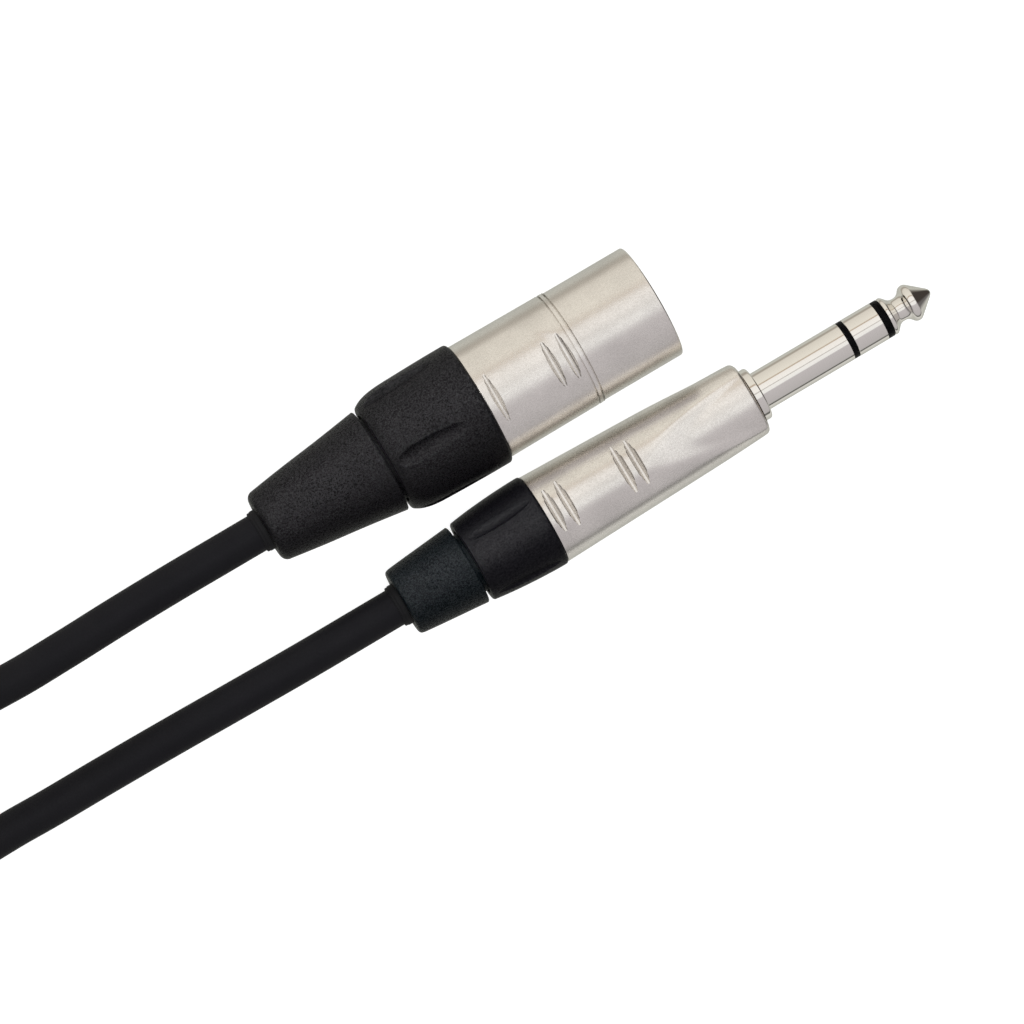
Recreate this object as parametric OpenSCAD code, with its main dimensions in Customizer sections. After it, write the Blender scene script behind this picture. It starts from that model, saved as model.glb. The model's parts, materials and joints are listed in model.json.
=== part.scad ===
// Balanced audio patch cable: a 3-pin XLR plug on one end, a 6.35 mm TRS jack plug on the other,
// and the rest of the cable folded into a tied hank behind them. Millimetres.
// The plugs lie side by side with their mating ends towards +X, resting on the plane z = 0.

/* [Layout] */
// Distance between the axes of the two plugs
plug_spacing = 20.6; // [19.5:0.1:24]
// How far the XLR collar rim lies ahead of the TRS collar rim
rim_lead = 0.4; // [0:0.1:2]

/* [XLR plug] */
// Outside diameter of the mating nose
nose_d = 19; // [18.8:0.1:20]
// Length of the mating nose, from the groove lines to its open end
nose_len = 14.2; // [12:0.1:18]
// How far the shell stands out over its neck at the collar
shell_step = 1.3; // [1:0.05:1.8]
// How much smaller the shell's radius is at the groove lines than at the collar
shell_taper = 0.2; // [0:0.05:0.4]
// Length of the shell body, from the collar rim to the groove lines
shell_body_len = 16.9; // [14:0.1:20]
// Wall of the nose round the mating cavity
nose_wall = 1.05; // [0.9:0.05:1.3]
// Diameter of the neck that the collar screws on to
xlr_neck_d = 16.9; // [16.4:0.1:17.4]
// Length of that neck
xlr_neck_len = 6.1; // [5:0.1:8]
// Diameter of the three contact pins
pin_d = 2.36; // [2.2:0.02:2.6]
// Free length of the contact pins
pin_len = 13; // [11:0.1:14]
// Thickness of the insert that holds the pins
insert_len = 6.5; // [5:0.1:8]
// Wall of the threaded neck behind the shell
xlr_neck_wall = 1.25; // [1:0.05:1.6]
// Thickness of the fluted collar over the neck
xlr_collar_wall = 1.95; // [1.7:0.05:3]
// Length of the fluted collar
xlr_collar_len = 17.1; // [15:0.1:20]
// How far the collar stands out over the neck at its boot end
xlr_collar_end_step = 0.35; // [0.2:0.05:0.8]
// Length of the boot outside the collar
xlr_boot_len = 21; // [16:0.1:28]
// Wall of the boot at its cable end
xlr_boot_wall = 2.5; // [2:0.1:3.5]
// Travel of the collar thread in one turn
xlr_pitch = 1.5; // [1:0.25:2]

/* [TRS plug] */
// Diameter of the contact shaft, the 6.35 mm standard
shaft_d = 6.35; // [6.3:0.01:6.4]
// Length of the sleeve contact, from its collar to the first black ring
sleeve_len = 15.7; // [14:0.1:17]
// Width of the black ring between sleeve and ring contacts
ring_gap_len = 0.95; // [0.7:0.05:1.4]
// Length of the ring contact
ring_len = 5.25; // [4:0.05:6]
// Width of the black ring between ring and tip contacts
tip_gap_len = 1.1; // [0.7:0.05:1.5]
// Length of the tip contact
tip_len = 8.2; // [7:0.1:9]
// Diameter of the bright collar at the root of the shaft
root_collar_d = 8.8; // [8.4:0.1:9.4]
// Visible length of that collar
root_collar_len = 1.5; // [1:0.1:3]
// How far the barrel stands out over its neck at the collar
barrel_step = 1.5; // [1.4:0.05:1.7]
// Barrel diameter at the shaft
barrel_front_d = 12.75; // [12.2:0.05:13.6]
// Length of the barrel outside the collar
barrel_len = 37.4; // [34:0.1:42]
// Wall of the barrel at the shaft, round its bore
barrel_side_wall = 1.025; // [0.9:0.025:1.4]
// Diameter of the neck that the collar screws on to
trs_neck_d = 12; // [11.6:0.1:12.4]
// Length of that neck
trs_neck_len = 5; // [4.5:0.1:6]
// Thickness of the fluted collar over the neck
trs_collar_wall = 1.7; // [1.6:0.05:2.2]
// Length of the fluted collar
trs_collar_len = 13; // [12:0.1:16]
// How far the collar stands out over the neck at its boot end
trs_collar_end_step = 0.8; // [0.7:0.05:1.2]
// Length of the boot outside the collar
trs_boot_len = 11.9; // [10:0.1:18]
// Wall of the boot at its cable end
trs_boot_wall = 2; // [1.6:0.1:2.4]
// Travel of the collar thread in one turn
trs_pitch = 1; // [0.75:0.25:1.5]

/* [Cable] */
// Outside diameter of the cable
cable_d = 6; // [5.8:0.1:6.2]
// Straight length of each run of the hank
hank_run = 110; // [90:1:120]
// Radius of the folds of the hank, to the middle of the cable
hank_fold_r = 18; // [18:0.5:20]
// Height from one layer of the hank to the next
hank_pitch = 6.6; // [6.6:0.1:7.5]
// Width of the tie round the waist of the hank
tie_w = 16; // [10:1:20]
// Thickness of the tie
tie_t = 1.3; // [1:0.1:1.5]

/* [Hidden] */
$fn = 96;

// Clearances
slip = 0.05;      // radial, between parts that slide or screw together
seat = 0.02;      // radial, between fixed parts that are pushed together
loose = 0.15;     // radial, boot over grommet
swivel = 0.2;     // boot neck inside the collar, radially and along the axis
soft_gap = 0.3;   // tie round the hank

// Radii that follow from the walls
cable_r = cable_d / 2;
grommet_r = cable_r + 0.45;
boot_step = 0.15;   // collar end over boot head, radially
xlr_neck_r = xlr_neck_d / 2;
xlr_bore_r = xlr_neck_r - xlr_neck_wall;
xlr_collar_r = xlr_neck_r + xlr_collar_wall;
xlr_collar_end_r = xlr_neck_r + xlr_collar_end_step;
shell_rim_r = xlr_neck_r + shell_step;
shell_line_r = shell_rim_r - shell_taper;
nose_r = nose_d / 2;
cavity_r = nose_r - nose_wall;
barrel_front_r = barrel_front_d / 2;
barrel_bore_r = barrel_front_r - barrel_side_wall;
trs_neck_bore_r = barrel_bore_r - 0.45;
trs_neck_r = trs_neck_d / 2;
barrel_rear_r = trs_neck_r + barrel_step;
trs_collar_r = trs_neck_r + trs_collar_wall;
trs_collar_end_r = trs_neck_r + trs_collar_end_step;

// Frame: the origin is below the middle of the two plugs with their cable ends
xlr_z = xlr_collar_r;
trs_z = trs_collar_r;
half_y = (plug_spacing + xlr_z + trs_z) / 2;
xlr_y = half_y - xlr_z;
trs_y = trs_z - half_y;

collar_gap = 0.5;
run_start = 8;
front_len = barrel_len + root_collar_len + sleeve_len + ring_gap_len + ring_len + tip_gap_len + tip_len;
back_len = xlr_collar_len + collar_gap + xlr_boot_len + run_start;
trs_rim_x = (back_len - rim_lead - front_len) / 2;
xlr_rim_x = trs_rim_x + rim_lead;

// Stations of the XLR plug along X
neck_x = xlr_rim_x - xlr_neck_len;
line_x = xlr_rim_x + shell_body_len;
nose_x = line_x + nose_len;
xlr_collar_x = xlr_rim_x - xlr_collar_len;
xlr_boot_x = xlr_collar_x - collar_gap;
xlr_tail_x = xlr_boot_x - xlr_boot_len;
cavity_depth = 16.5;
insert_x = nose_x - cavity_depth - insert_len;
pin_root_x = insert_x + insert_len;
xlr_wall = 2;
xlr_hole_r = xlr_neck_r - 0.7;
pin_r = pin_d / 2;
pin_root_r = pin_r + 0.25;
pin_places = [[-4, 0.6], [4, 0.6], [0, -3.6]];
cup_x = insert_x - 4;
xlr_chuck_front = insert_x - 12;
xlr_chuck_tail_r = xlr_bore_r - slip - 1.6;
xlr_jacket_x = xlr_chuck_front + 0.5;
wire_gap = 0.25;

// Stations of the TRS plug along X
barrel_x = trs_rim_x;
barrel_front_x = barrel_x + barrel_len;
trs_neck_x = barrel_x - trs_neck_len;
shaft_x = barrel_front_x + root_collar_len;
gap_1_x = shaft_x + sleeve_len;
ring_x = gap_1_x + ring_gap_len;
gap_2_x = ring_x + ring_len;
tip_x = gap_2_x + tip_gap_len;
tip_end_x = tip_x + tip_len;
trs_collar_x = trs_rim_x - trs_collar_len;
trs_boot_x = trs_collar_x - collar_gap;
trs_tail_x = trs_boot_x - trs_boot_len;
trs_wall = 1.5;
trs_hole_r = trs_neck_r - 0.4;
barrel_wall = 3;
shaft_r = shaft_d / 2;
base_len = 4.4;
base_x = barrel_front_x - barrel_wall - base_len;
washer_t = 1.2;
earth_r = barrel_bore_r - 1.5;
tip_wire = [base_x - 9.2, 1.05, 0];
ring_wire = [base_x - 7.5, -2.1, 0];
trs_jacket_x = trs_rim_x + 6;
earth_wire = [trs_jacket_x + 9, 0, -earth_r + 0.5];
lug_t = 0.6;

// Cable and hank
grommet_out = 1.3;
near_x = -144;
hank_y = 1;
hank_z = cable_r;
hank_layers = 4;
waist_draw = 13;
waist_lift = tie_t + soft_gap;
far_x = near_x - hank_run;
waist_share = 0.4;
top_z = hank_z + (hank_layers - 1) * hank_pitch;
straight = [cable_d, 0, 0];
hank_in = [near_x, hank_y - hank_fold_r, hank_z];
hank_out = [near_x, hank_y + hank_fold_r, top_z];
// Routes of the stretches that are not folded, from each plug to the hank
xlr_route = [
    [xlr_tail_x - run_start, xlr_y, xlr_z], [-66, xlr_y, xlr_z], [-76, 8.8, 11], [-86, 8.5, 12.6], [-96, 8.4, 15],
    [-103, 8.9, 17], [-110, 10.6, 18.8], [-118, 13.8, 20.7], [-127, 17.2, 22.1], hank_out + straight, hank_out
];
trs_route = [
    [trs_tail_x - run_start, trs_y, trs_z], [-54, trs_y, trs_z], [-66, -11.5, 6.9], [-78, -11.3, 5.1],
    [-90, -11.2, 3.4], [-100, -11.2, 3], [-108, -11.1, 3], [-114, -11.4, 3], [-121, -12.9, 3], [-129, -15.4, 3],
    hank_in + straight, hank_in
];

// ---------------------------------------------------------------- helpers

// Places a solid that was built along +Z on the axis of one plug, with +Z turned to +X and +X to -Z
module on_axis(y, z) {
    translate([0, y, z]) rotate([0, 90, 0]) children();
}

// A ring or disc from station x0 to x1
module tube(x0, x1, outer, inner = 0) {
    translate([0, 0, x0]) difference() {
        cylinder(h = x1 - x0, r = outer);
        if (inner > 0) translate([0, 0, -1]) cylinder(h = x1 - x0 + 2, r = inner);
    }
}

// A round rod between two points
module rod(a, b, r) {
    d = b - a;
    len = norm(d);
    translate(a) rotate([0, acos(d[2] / len), atan2(d[1], d[0])]) cylinder(h = len, r = r, $fn = 24);
}

// Points of a quarter turn from angle a0 to a1 about [cr, cx]
function arc(cr, cx, r, a0, a1, n = 5) =
    [for (i = [0 : n]) let (a = a0 + (a1 - a0) * i / n) [cr + r * cos(a), cx + r * sin(a)]];

// Scoops spaced round a collar: deep near the boot and running out towards the rim
module flutes(count, phase, x, len, surface_r, depth, tool_r) {
    for (i = [0 : count - 1]) rotate([0, 0, phase + i * 360 / count])
        translate([surface_r - depth + tool_r, 0, x]) rotate([0, atan(depth / len), 0]) {
            cylinder(h = len, r = tool_r, $fn = 48);
            sphere(r = tool_r, $fn = 48);
        }
}

// A lens-shaped groove across the top of a shell: a trough with a narrow flat floor, cut straight across
module lens_groove(x, surface_r, depth, floor_w, mouth_w) {
    slope = (mouth_w - floor_w) / 2 / depth;
    top = 1.5;
    translate([0, 0, x]) rotate([90, 0, 0]) linear_extrude(height = 2 * surface_r, center = true)
        polygon([
            [-surface_r + depth, -floor_w / 2],
            [-surface_r + depth, floor_w / 2],
            [-surface_r - top, floor_w / 2 + slope * (depth + top)],
            [-surface_r - top, -floor_w / 2 - slope * (depth + top)]
        ]);
}

// ---------------------------------------------------------------- XLR plug

module xlr_shell() {
    edge = 0.5;
    line_w = 0.25;
    line_depth = 0.3;
    key_w = 3.2;
    key_len = 6.5;
    color([0.78, 0.76, 0.73]) on_axis(xlr_y, xlr_z) difference() {
        rotate_extrude() polygon(concat(
            [[0, neck_x], [xlr_neck_r - 0.3, neck_x], [xlr_neck_r, neck_x + 0.3], [xlr_neck_r, xlr_rim_x],
             [shell_rim_r, xlr_rim_x], [shell_line_r, line_x], [nose_r, line_x + 0.1]],
            arc(nose_r - edge, nose_x - edge, edge, 0, 90),
            [[0, nose_x]]
        ));
        translate([0, 0, neck_x - 1]) cylinder(h = insert_x - neck_x + 2, r = xlr_bore_r);
        translate([0, 0, insert_x]) cylinder(h = nose_x - insert_x + 1, r = cavity_r);
        for (x = [line_x - 1.1, line_x - 0.3])
            tube(x, x + line_w, shell_line_r + 1, shell_line_r - line_depth);
        lens_groove(xlr_rim_x + 2.4, shell_rim_r, 0.65, 0.3, 1.2);
        lens_groove(line_x - 4.9, shell_line_r, 0.7, 0.3, 1.45);
        lens_groove(line_x - 2.4, shell_line_r, 0.6, 0.3, 1.35);
        translate([cavity_r - 1, -key_w / 2, nose_x - key_len]) cube([1.5, key_w, key_len + 1]);
    }
}

module xlr_insert() {
    color([0.12, 0.12, 0.13]) on_axis(xlr_y, xlr_z) difference() {
        tube(insert_x, insert_x + insert_len, cavity_r - seat);
        for (p = pin_places)
            translate([-p[1], p[0], insert_x - 1]) cylinder(h = insert_len + 2, r = pin_root_r + seat);
        translate([-xlr_bore_r + 0.7, -1.6, insert_x - 1]) cube([0.5, 3.2, 3.5]);
    }
}

// Contact pin with a thicker root, held in the insert, that ends in a solder cup
module xlr_pin(place) {
    cup_bore = 0.8;
    color([0.80, 0.68, 0.38]) on_axis(xlr_y, xlr_z) translate([-place[1], place[0], 0]) difference() {
        rotate_extrude() polygon(concat(
            [[0, cup_x], [pin_root_r, cup_x], [pin_root_r, pin_root_x], [pin_r, pin_root_x]],
            arc(0, pin_root_x + pin_len - pin_r, pin_r, 0, 90)
        ));
        translate([0, 0, cup_x - 1]) cylinder(h = 3.8, r = cup_bore);
    }
}

// Bent strip that joins the insert to the shell: its foot is held in the insert, its nose lies by the bore
module xlr_ground_spring() {
    strip = 0.4;
    foot_x = xlr_bore_r - 1.15;
    back = insert_x - 2.6;
    color([0.82, 0.80, 0.72]) on_axis(xlr_y, xlr_z) rotate([0, 0, 180]) {
        translate([foot_x, -1.5, back]) cube([strip, 3, insert_x + 2.4 - back]);
        translate([foot_x, -1.5, back]) cube([xlr_bore_r - foot_x - 0.35, 3, strip]);
    }
}

// Split clamp that grips the cable inside the neck
module xlr_chuck() {
    back = xlr_collar_x + xlr_wall + 2.4;
    front = xlr_chuck_front;
    body_r = xlr_bore_r - slip;
    color([0.90, 0.88, 0.80]) on_axis(xlr_y, xlr_z) difference() {
        rotate_extrude() polygon([
            [cable_r + seat, back], [xlr_chuck_tail_r, back], [body_r, back + 3],
            [body_r, front], [cable_r + seat, front]
        ]);
        translate([-0.5, 0, back - 1]) cube([1, body_r + 1, front - back - 3]);
        translate([-0.5, -body_r - 1, back - 1]) cube([1, body_r + 1, front - back - 3]);
    }
}

module xlr_collar() {
    r = xlr_collar_r;
    end_r = xlr_collar_end_r;
    swell = 5.5;
    edge = 0.6;
    color([0.09, 0.09, 0.10]) on_axis(xlr_y, xlr_z) difference() {
        rotate_extrude() polygon(concat(
            [[0, xlr_collar_x], [end_r, xlr_collar_x]],
            [for (i = [1 : 8]) let (a = 90 * i / 8)
                [end_r + (r - 0.15 - end_r) * sin(a), xlr_collar_x + 0.3 + swell * (1 - cos(a))]],
            [[r, xlr_rim_x - 4]],
            arc(r - edge, xlr_rim_x - edge, edge, 0, 90),
            [[0, xlr_rim_x]]
        ));
        translate([0, 0, xlr_collar_x - 1]) cylinder(h = xlr_wall + 2, r = xlr_hole_r);
        translate([0, 0, xlr_collar_x + xlr_wall]) cylinder(h = xlr_collar_len, r = xlr_neck_r + slip);
        flutes(5, 187, xlr_collar_x + 3.4, 10.5, r, 0.55, 2.4);
    }
}

module xlr_boot() {
    tail_r = grommet_r + loose + xlr_boot_wall;
    head_r = xlr_collar_end_r - boot_step;
    neck_r = xlr_hole_r - swivel;
    flange_r = xlr_neck_r - 0.1;
    flange_x = xlr_collar_x + xlr_wall + swivel;
    mouth_r = xlr_chuck_tail_r + 0.55;
    color([0.10, 0.10, 0.11]) on_axis(xlr_y, xlr_z) difference() {
        rotate_extrude() polygon(concat(
            [[0, xlr_tail_x], [tail_r - 1.3, xlr_tail_x]],
            arc(tail_r - 1.3, xlr_tail_x + 1.3, 1.3, -90, 0),
            [[head_r, xlr_boot_x], [neck_r, xlr_boot_x], [neck_r, flange_x],
             [flange_r, flange_x], [flange_r, flange_x + 1.5], [0, flange_x + 1.5]]
        ));
        translate([0, 0, xlr_tail_x - 1]) cylinder(h = 60, r = grommet_r + loose);
        translate([0, 0, flange_x - 8]) cylinder(h = 9.5, r1 = grommet_r, r2 = mouth_r);
    }
}

// Rubber sleeve round the cable under the end of the boot
module grommet(y, z, tail) {
    color([0.07, 0.07, 0.08]) on_axis(y, z) rotate_extrude() polygon([
        [cable_r + seat, tail - grommet_out], [grommet_r - 0.1, tail - grommet_out],
        [grommet_r - 0.1, tail - grommet_out + 0.5], [grommet_r, tail - grommet_out + 0.5],
        [grommet_r, tail + 8], [cable_r + seat, tail + 8]
    ]);
}

module xlr_grommet() {
    grommet(xlr_y, xlr_z, xlr_tail_x);
}

module cable_end(y, z, x0, x1) {
    color([0.08, 0.08, 0.09]) on_axis(y, z) tube(x0, x1, cable_r);
}

module xlr_cable_end() {
    cable_end(xlr_y, xlr_z, xlr_tail_x - run_start, xlr_jacket_x);
}

// Insulated cores from the end of the jacket to the cups of pins 2 and 3
module xlr_conductors() {
    color([0.75, 0.12, 0.10]) translate([0, xlr_y, xlr_z])
        rod([xlr_jacket_x + wire_gap, 1.2, 0.6], [cup_x - wire_gap, pin_places[1][0], pin_places[1][1]], 0.6);
    color([0.85, 0.85, 0.82]) translate([0, xlr_y, xlr_z])
        rod([xlr_jacket_x + wire_gap, 0, -1.2], [cup_x - wire_gap, pin_places[2][0], pin_places[2][1]], 0.6);
}

module xlr_drain_wire() {
    color([0.72, 0.45, 0.28]) translate([0, xlr_y, xlr_z])
        rod([xlr_jacket_x + wire_gap, -1.2, 0.6],
            [cup_x - wire_gap, pin_places[0][0], pin_places[0][1]], 0.45);
}

// Solder that fills the mouth of each cup
module xlr_solder_joints() {
    color([0.70, 0.71, 0.72]) on_axis(xlr_y, xlr_z)
        for (p = pin_places) translate([-p[1], p[0], cup_x + 0.1]) cylinder(h = 2, r = 0.8 - seat);
}

// ---------------------------------------------------------------- TRS plug

module trs_tip() {
    neck_r = 2;
    ball_r = 3.05;
    rod_r = 0.9;
    color([0.80, 0.79, 0.76]) on_axis(trs_y, trs_z) rotate_extrude() polygon(concat(
        [[0, base_x - 6.5], [rod_r, base_x - 6.5], [rod_r, tip_x], [shaft_r - 0.2, tip_x],
         [shaft_r, tip_x + 0.2], [shaft_r, tip_x + 0.5], [shaft_r - 0.25, tip_x + 0.8]],
        arc(neck_r + 1.15, tip_x + 2.3, 1.15, 240, 180, 3),
        arc(neck_r + 1.15, tip_x + 2.9, 1.15, 180, 128, 3),
        [[ball_r - 0.2, tip_x + 4.4], [ball_r, tip_x + 4.9], [ball_r - 0.1, tip_x + 5.3],
         [ball_r - 0.35, tip_x + 5.65], [0.45, tip_end_x - 0.25], [0.2, tip_end_x], [0, tip_end_x]]
    ));
}

// A black ring in the shaft with the tube that carries it inside
module shaft_insulator(x0, x1, tube_r, bore_r, back) {
    color([0.06, 0.06, 0.06]) on_axis(trs_y, trs_z) rotate_extrude() polygon([
        [bore_r, back], [tube_r, back], [tube_r, x0], [shaft_r - 0.05, x0], [shaft_r - 0.05, x1], [bore_r, x1]
    ]);
}

module trs_tip_insulator() {
    shaft_insulator(gap_2_x, tip_x, 1.5, 0.9 + seat, base_x - 3.6);
}

module trs_ring() {
    color([0.80, 0.79, 0.76]) on_axis(trs_y, trs_z) rotate_extrude() polygon([
        [1.5 + seat, base_x - 2.2], [1.95, base_x - 2.2], [1.95, ring_x], [shaft_r, ring_x],
        [shaft_r, gap_2_x], [1.5 + seat, gap_2_x]
    ]);
}

module trs_ring_insulator() {
    shaft_insulator(gap_1_x, ring_x, 2.4, 1.95 + seat, base_x - 0.2);
}

// Sleeve contact, its bright root collar, and the flange that is trapped behind the front of the barrel
module trs_sleeve() {
    root_r = root_collar_d / 2;
    flange_r = barrel_bore_r - slip;
    flange_x = barrel_front_x - barrel_wall - seat;
    edge = 0.35;
    color([0.80, 0.79, 0.76]) on_axis(trs_y, trs_z) rotate_extrude() polygon(concat(
        [[2.4 + seat, base_x], [flange_r, base_x], [flange_r, flange_x], [root_r, flange_x]],
        arc(root_r - edge, shaft_x - edge, edge, 0, 90, 3),
        [[shaft_r, shaft_x], [shaft_r, gap_1_x], [2.4 + seat, gap_1_x]]
    ));
}

// Flat ring with a tail that a core is soldered to; it lies on its own contact tube
module lug(x, hole_r, outer, turn, colour) {
    tail = 5;
    color(colour) on_axis(trs_y, trs_z) rotate([0, 0, turn]) {
        tube(x, x + lug_t, outer, hole_r + seat);
        translate([outer - 0.7, -1, x - tail]) cube([lug_t, 2, tail]);
    }
}

module trs_tip_lug() {
    lug(base_x - 5.2, 0.9, 2.3, 90, [0.82, 0.80, 0.72]);
}

module trs_ring_lug() {
    lug(base_x - 3.0, 1.95, 3.4, 270, [0.82, 0.80, 0.72]);
}

// Earth strip that runs back from the sleeve beside the cable
module trs_sleeve_lug() {
    x1 = base_x;
    x0 = trs_rim_x + 4;
    color([0.82, 0.80, 0.72]) on_axis(trs_y, trs_z)
        translate([earth_r, -1.5, x0]) cube([0.6, 3, x1 - x0]);
}

// Insulating washer between the ring lug and the sleeve
module trs_lug_washer() {
    color([0.55, 0.25, 0.12]) on_axis(trs_y, trs_z)
        tube(base_x - 0.2 - washer_t, base_x - 0.2, 3.6, 1.95 + seat);
}

// Plastic tube that lines the barrel round the soldered joints
module trs_liner() {
    color([0.90, 0.90, 0.86]) on_axis(trs_y, trs_z)
        tube(trs_rim_x + 3.2, base_x - 0.3, barrel_bore_r - slip, barrel_bore_r - 0.55);
}

module trs_barrel() {
    edge = 0.8;
    root_r = root_collar_d / 2;
    color([0.78, 0.76, 0.73]) on_axis(trs_y, trs_z) difference() {
        rotate_extrude() polygon(concat(
            [[0, trs_neck_x], [trs_neck_r - 0.3, trs_neck_x], [trs_neck_r, trs_neck_x + 0.3],
             [trs_neck_r, barrel_x], [barrel_rear_r, barrel_x]],
            arc(barrel_front_r - edge, barrel_front_x - edge, edge, 0, 90),
            [[0, barrel_front_x]]
        ));
        translate([0, 0, trs_neck_x - 1]) cylinder(h = barrel_len, r = trs_neck_bore_r);
        translate([0, 0, barrel_x + 3]) cylinder(h = barrel_len - 3 - barrel_wall, r = barrel_bore_r);
        translate([0, 0, barrel_front_x - barrel_wall - 1]) cylinder(h = barrel_wall + 2, r = root_r + slip);
        narrowing = (barrel_rear_r - barrel_front_r) / barrel_len;
        for (x = [1.9, 4.2, 14.5, 16.8])
            lens_groove(barrel_x + x, barrel_rear_r - narrowing * x, 0.65, 0.3, 1.5);
    }
}

module trs_chuck() {
    back = trs_collar_x + trs_wall + 2.4;
    front = trs_rim_x + 2.6;
    body_r = trs_neck_bore_r - slip;
    color([0.90, 0.88, 0.80]) on_axis(trs_y, trs_z) difference() {
        rotate_extrude() polygon([
            [cable_r + seat, back], [body_r - 0.8, back], [body_r, back + 2],
            [body_r, front], [cable_r + seat, front]
        ]);
        translate([-0.4, 0, back - 1]) cube([0.8, body_r + 1, front - back - 2]);
        translate([-0.4, -body_r - 1, back - 1]) cube([0.8, body_r + 1, front - back - 2]);
    }
}

module trs_collar() {
    r = trs_collar_r;
    end_r = trs_collar_end_r;
    edge = 0.4;
    color([0.09, 0.09, 0.10]) on_axis(trs_y, trs_z) difference() {
        rotate_extrude() polygon(concat(
            [[0, trs_collar_x], [end_r - 0.2, trs_collar_x], [end_r, trs_collar_x + 0.2]],
            [for (i = [1 : 5]) let (s = i / 6)
                [end_r + (r - end_r) * sin(90 * s), trs_collar_x + 0.2 + (trs_collar_len - 1.4) * s]],
            arc(r - edge, trs_rim_x - edge, edge, 0, 90, 3),
            [[0, trs_rim_x]]
        ));
        translate([0, 0, trs_collar_x - 1]) cylinder(h = trs_wall + 2, r = trs_hole_r);
        translate([0, 0, trs_collar_x + trs_wall]) cylinder(h = trs_collar_len, r = trs_neck_r + slip);
        flutes(4, 148, trs_collar_x + 2.6, 8, r - 0.35, 0.5, 1.7);
    }
}

module trs_boot() {
    tail_r = grommet_r + loose + trs_boot_wall;
    head_r = trs_collar_end_r - boot_step;
    neck_r = trs_hole_r - swivel;
    flange_r = trs_neck_r - 0.15;
    flange_x = trs_collar_x + trs_wall + swivel;
    edge = 0.6;
    color([0.10, 0.11, 0.12]) on_axis(trs_y, trs_z) difference() {
        rotate_extrude() polygon(concat(
            [[0, trs_tail_x], [tail_r - edge, trs_tail_x]],
            arc(tail_r - edge, trs_tail_x + edge, edge, -90, 0, 3),
            [[head_r, trs_boot_x], [neck_r, trs_boot_x], [neck_r, flange_x],
             [flange_r, flange_x], [flange_r, flange_x + 1.2], [0, flange_x + 1.2]]
        ));
        translate([0, 0, trs_tail_x - 1]) cylinder(h = 60, r = grommet_r + loose);
    }
}

module trs_grommet() {
    grommet(trs_y, trs_z, trs_tail_x);
}

module trs_cable_end() {
    cable_end(trs_y, trs_z, trs_tail_x - run_start, trs_jacket_x);
}

module trs_conductors() {
    color([0.75, 0.12, 0.10]) translate([0, trs_y, trs_z])
        rod([trs_jacket_x + wire_gap, 1, 0], tip_wire, 0.5);
    color([0.85, 0.85, 0.82]) translate([0, trs_y, trs_z])
        rod([trs_jacket_x + wire_gap, -1.4, 0], ring_wire, 0.5);
}

module trs_drain_wire() {
    color([0.72, 0.45, 0.28]) translate([0, trs_y, trs_z])
        rod([trs_jacket_x + wire_gap, 0, -1.8], earth_wire, 0.45);
}

module trs_solder_joints() {
    color([0.70, 0.71, 0.72]) translate([0, trs_y, trs_z])
        for (end = [tip_wire, ring_wire, earth_wire]) rod(end + [0.1, 0, 0], end + [1, 0, 0], 0.42);
}

// ---------------------------------------------------------------- cable between the plugs

// A tube along a list of points, its rings square to the route, one corner straight down
function sideways(t) = [-t[1], t[0], 0] / norm([t[0], t[1], 0]);
function heading(p, i) = let (d = p[min(i + 1, len(p) - 1)] - p[max(i - 1, 0)]) d / norm(d);
function ring(c, t, r, sides) = let (s = sideways(t), u = cross(t, s))
    [for (k = [0 : sides - 1]) let (a = -90 + 360 * k / sides) c + r * (cos(a) * s + sin(a) * u)];

module swept(points, r, sides) {
    rings = len(points);
    corners = [for (i = [0 : rings - 1]) each ring(points[i], heading(points, i), r, sides)];
    walls = [for (i = [0 : rings - 2]) for (k = [0 : sides - 1])
        let (a = i * sides + k, b = i * sides + (k + 1) % sides)
            each [[a, b, b + sides], [a, b + sides, a + sides]]];
    first = [for (k = [1 : sides - 2]) [0, k + 1, k]];
    last_at = (rings - 1) * sides;
    last = [for (k = [1 : sides - 2]) [last_at, last_at + k, last_at + k + 1]];
    polyhedron(points = corners, faces = [for (f = concat(walls, first, last)) [f[0], f[2], f[1]]]);
}

// Half the distance between the two runs at share s of the run: full at the folds, drawn in at the waist
function waist(s) = (1 - cos(180 * min(1, (0.5 - abs(s - 0.5)) / waist_share))) / 2;
function run_half(s) = hank_fold_r - waist_draw * waist(s);
// The waist is lifted by the thickness of the tie that passes under it
function run_z(s) = waist_lift * pow(waist(s), 2);

// Step i of 24 in loop k: run out, far fold, run back, near fold, which climbs one layer
function hank_point(k, i) =
    let (z = hank_z + k * hank_pitch)
    i < 5 ? let (s = i / 5) [near_x - hank_run * s, hank_y - run_half(s), z + run_z(s)]
    : i < 12 ? let (a = 180 * (i - 5) / 7) [far_x - hank_fold_r * sin(a), hank_y - hank_fold_r * cos(a), z]
    : i < 17 ? let (s = (i - 12) / 5) [far_x + hank_run * s, hank_y + run_half(s), z + run_z(s)]
    : let (a = 180 * (i - 17) / 7)
        [near_x + hank_fold_r * sin(a), hank_y + hank_fold_r * cos(a), z + hank_pitch * (1 - cos(a)) / 2];

// Both ends run straight for one diameter
last_step = 17;
hank_points = concat(
    [hank_in, hank_in - straight],
    [for (k = [0 : hank_layers - 1]) for (i = [0 : 23])
        if ((k > 0 || i > 0) && (k < hank_layers - 1 || i < last_step)) hank_point(k, i)],
    [hank_out - straight, hank_out]
);

module cable_run_xlr() {
    color([0.08, 0.08, 0.09]) swept(xlr_route, cable_r, 10);
}

module cable_run_trs() {
    color([0.08, 0.08, 0.09]) swept(trs_route, cable_r, 10);
}

module cable_hank() {
    color([0.08, 0.08, 0.09]) swept(hank_points, cable_r, 6);
}

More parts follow.
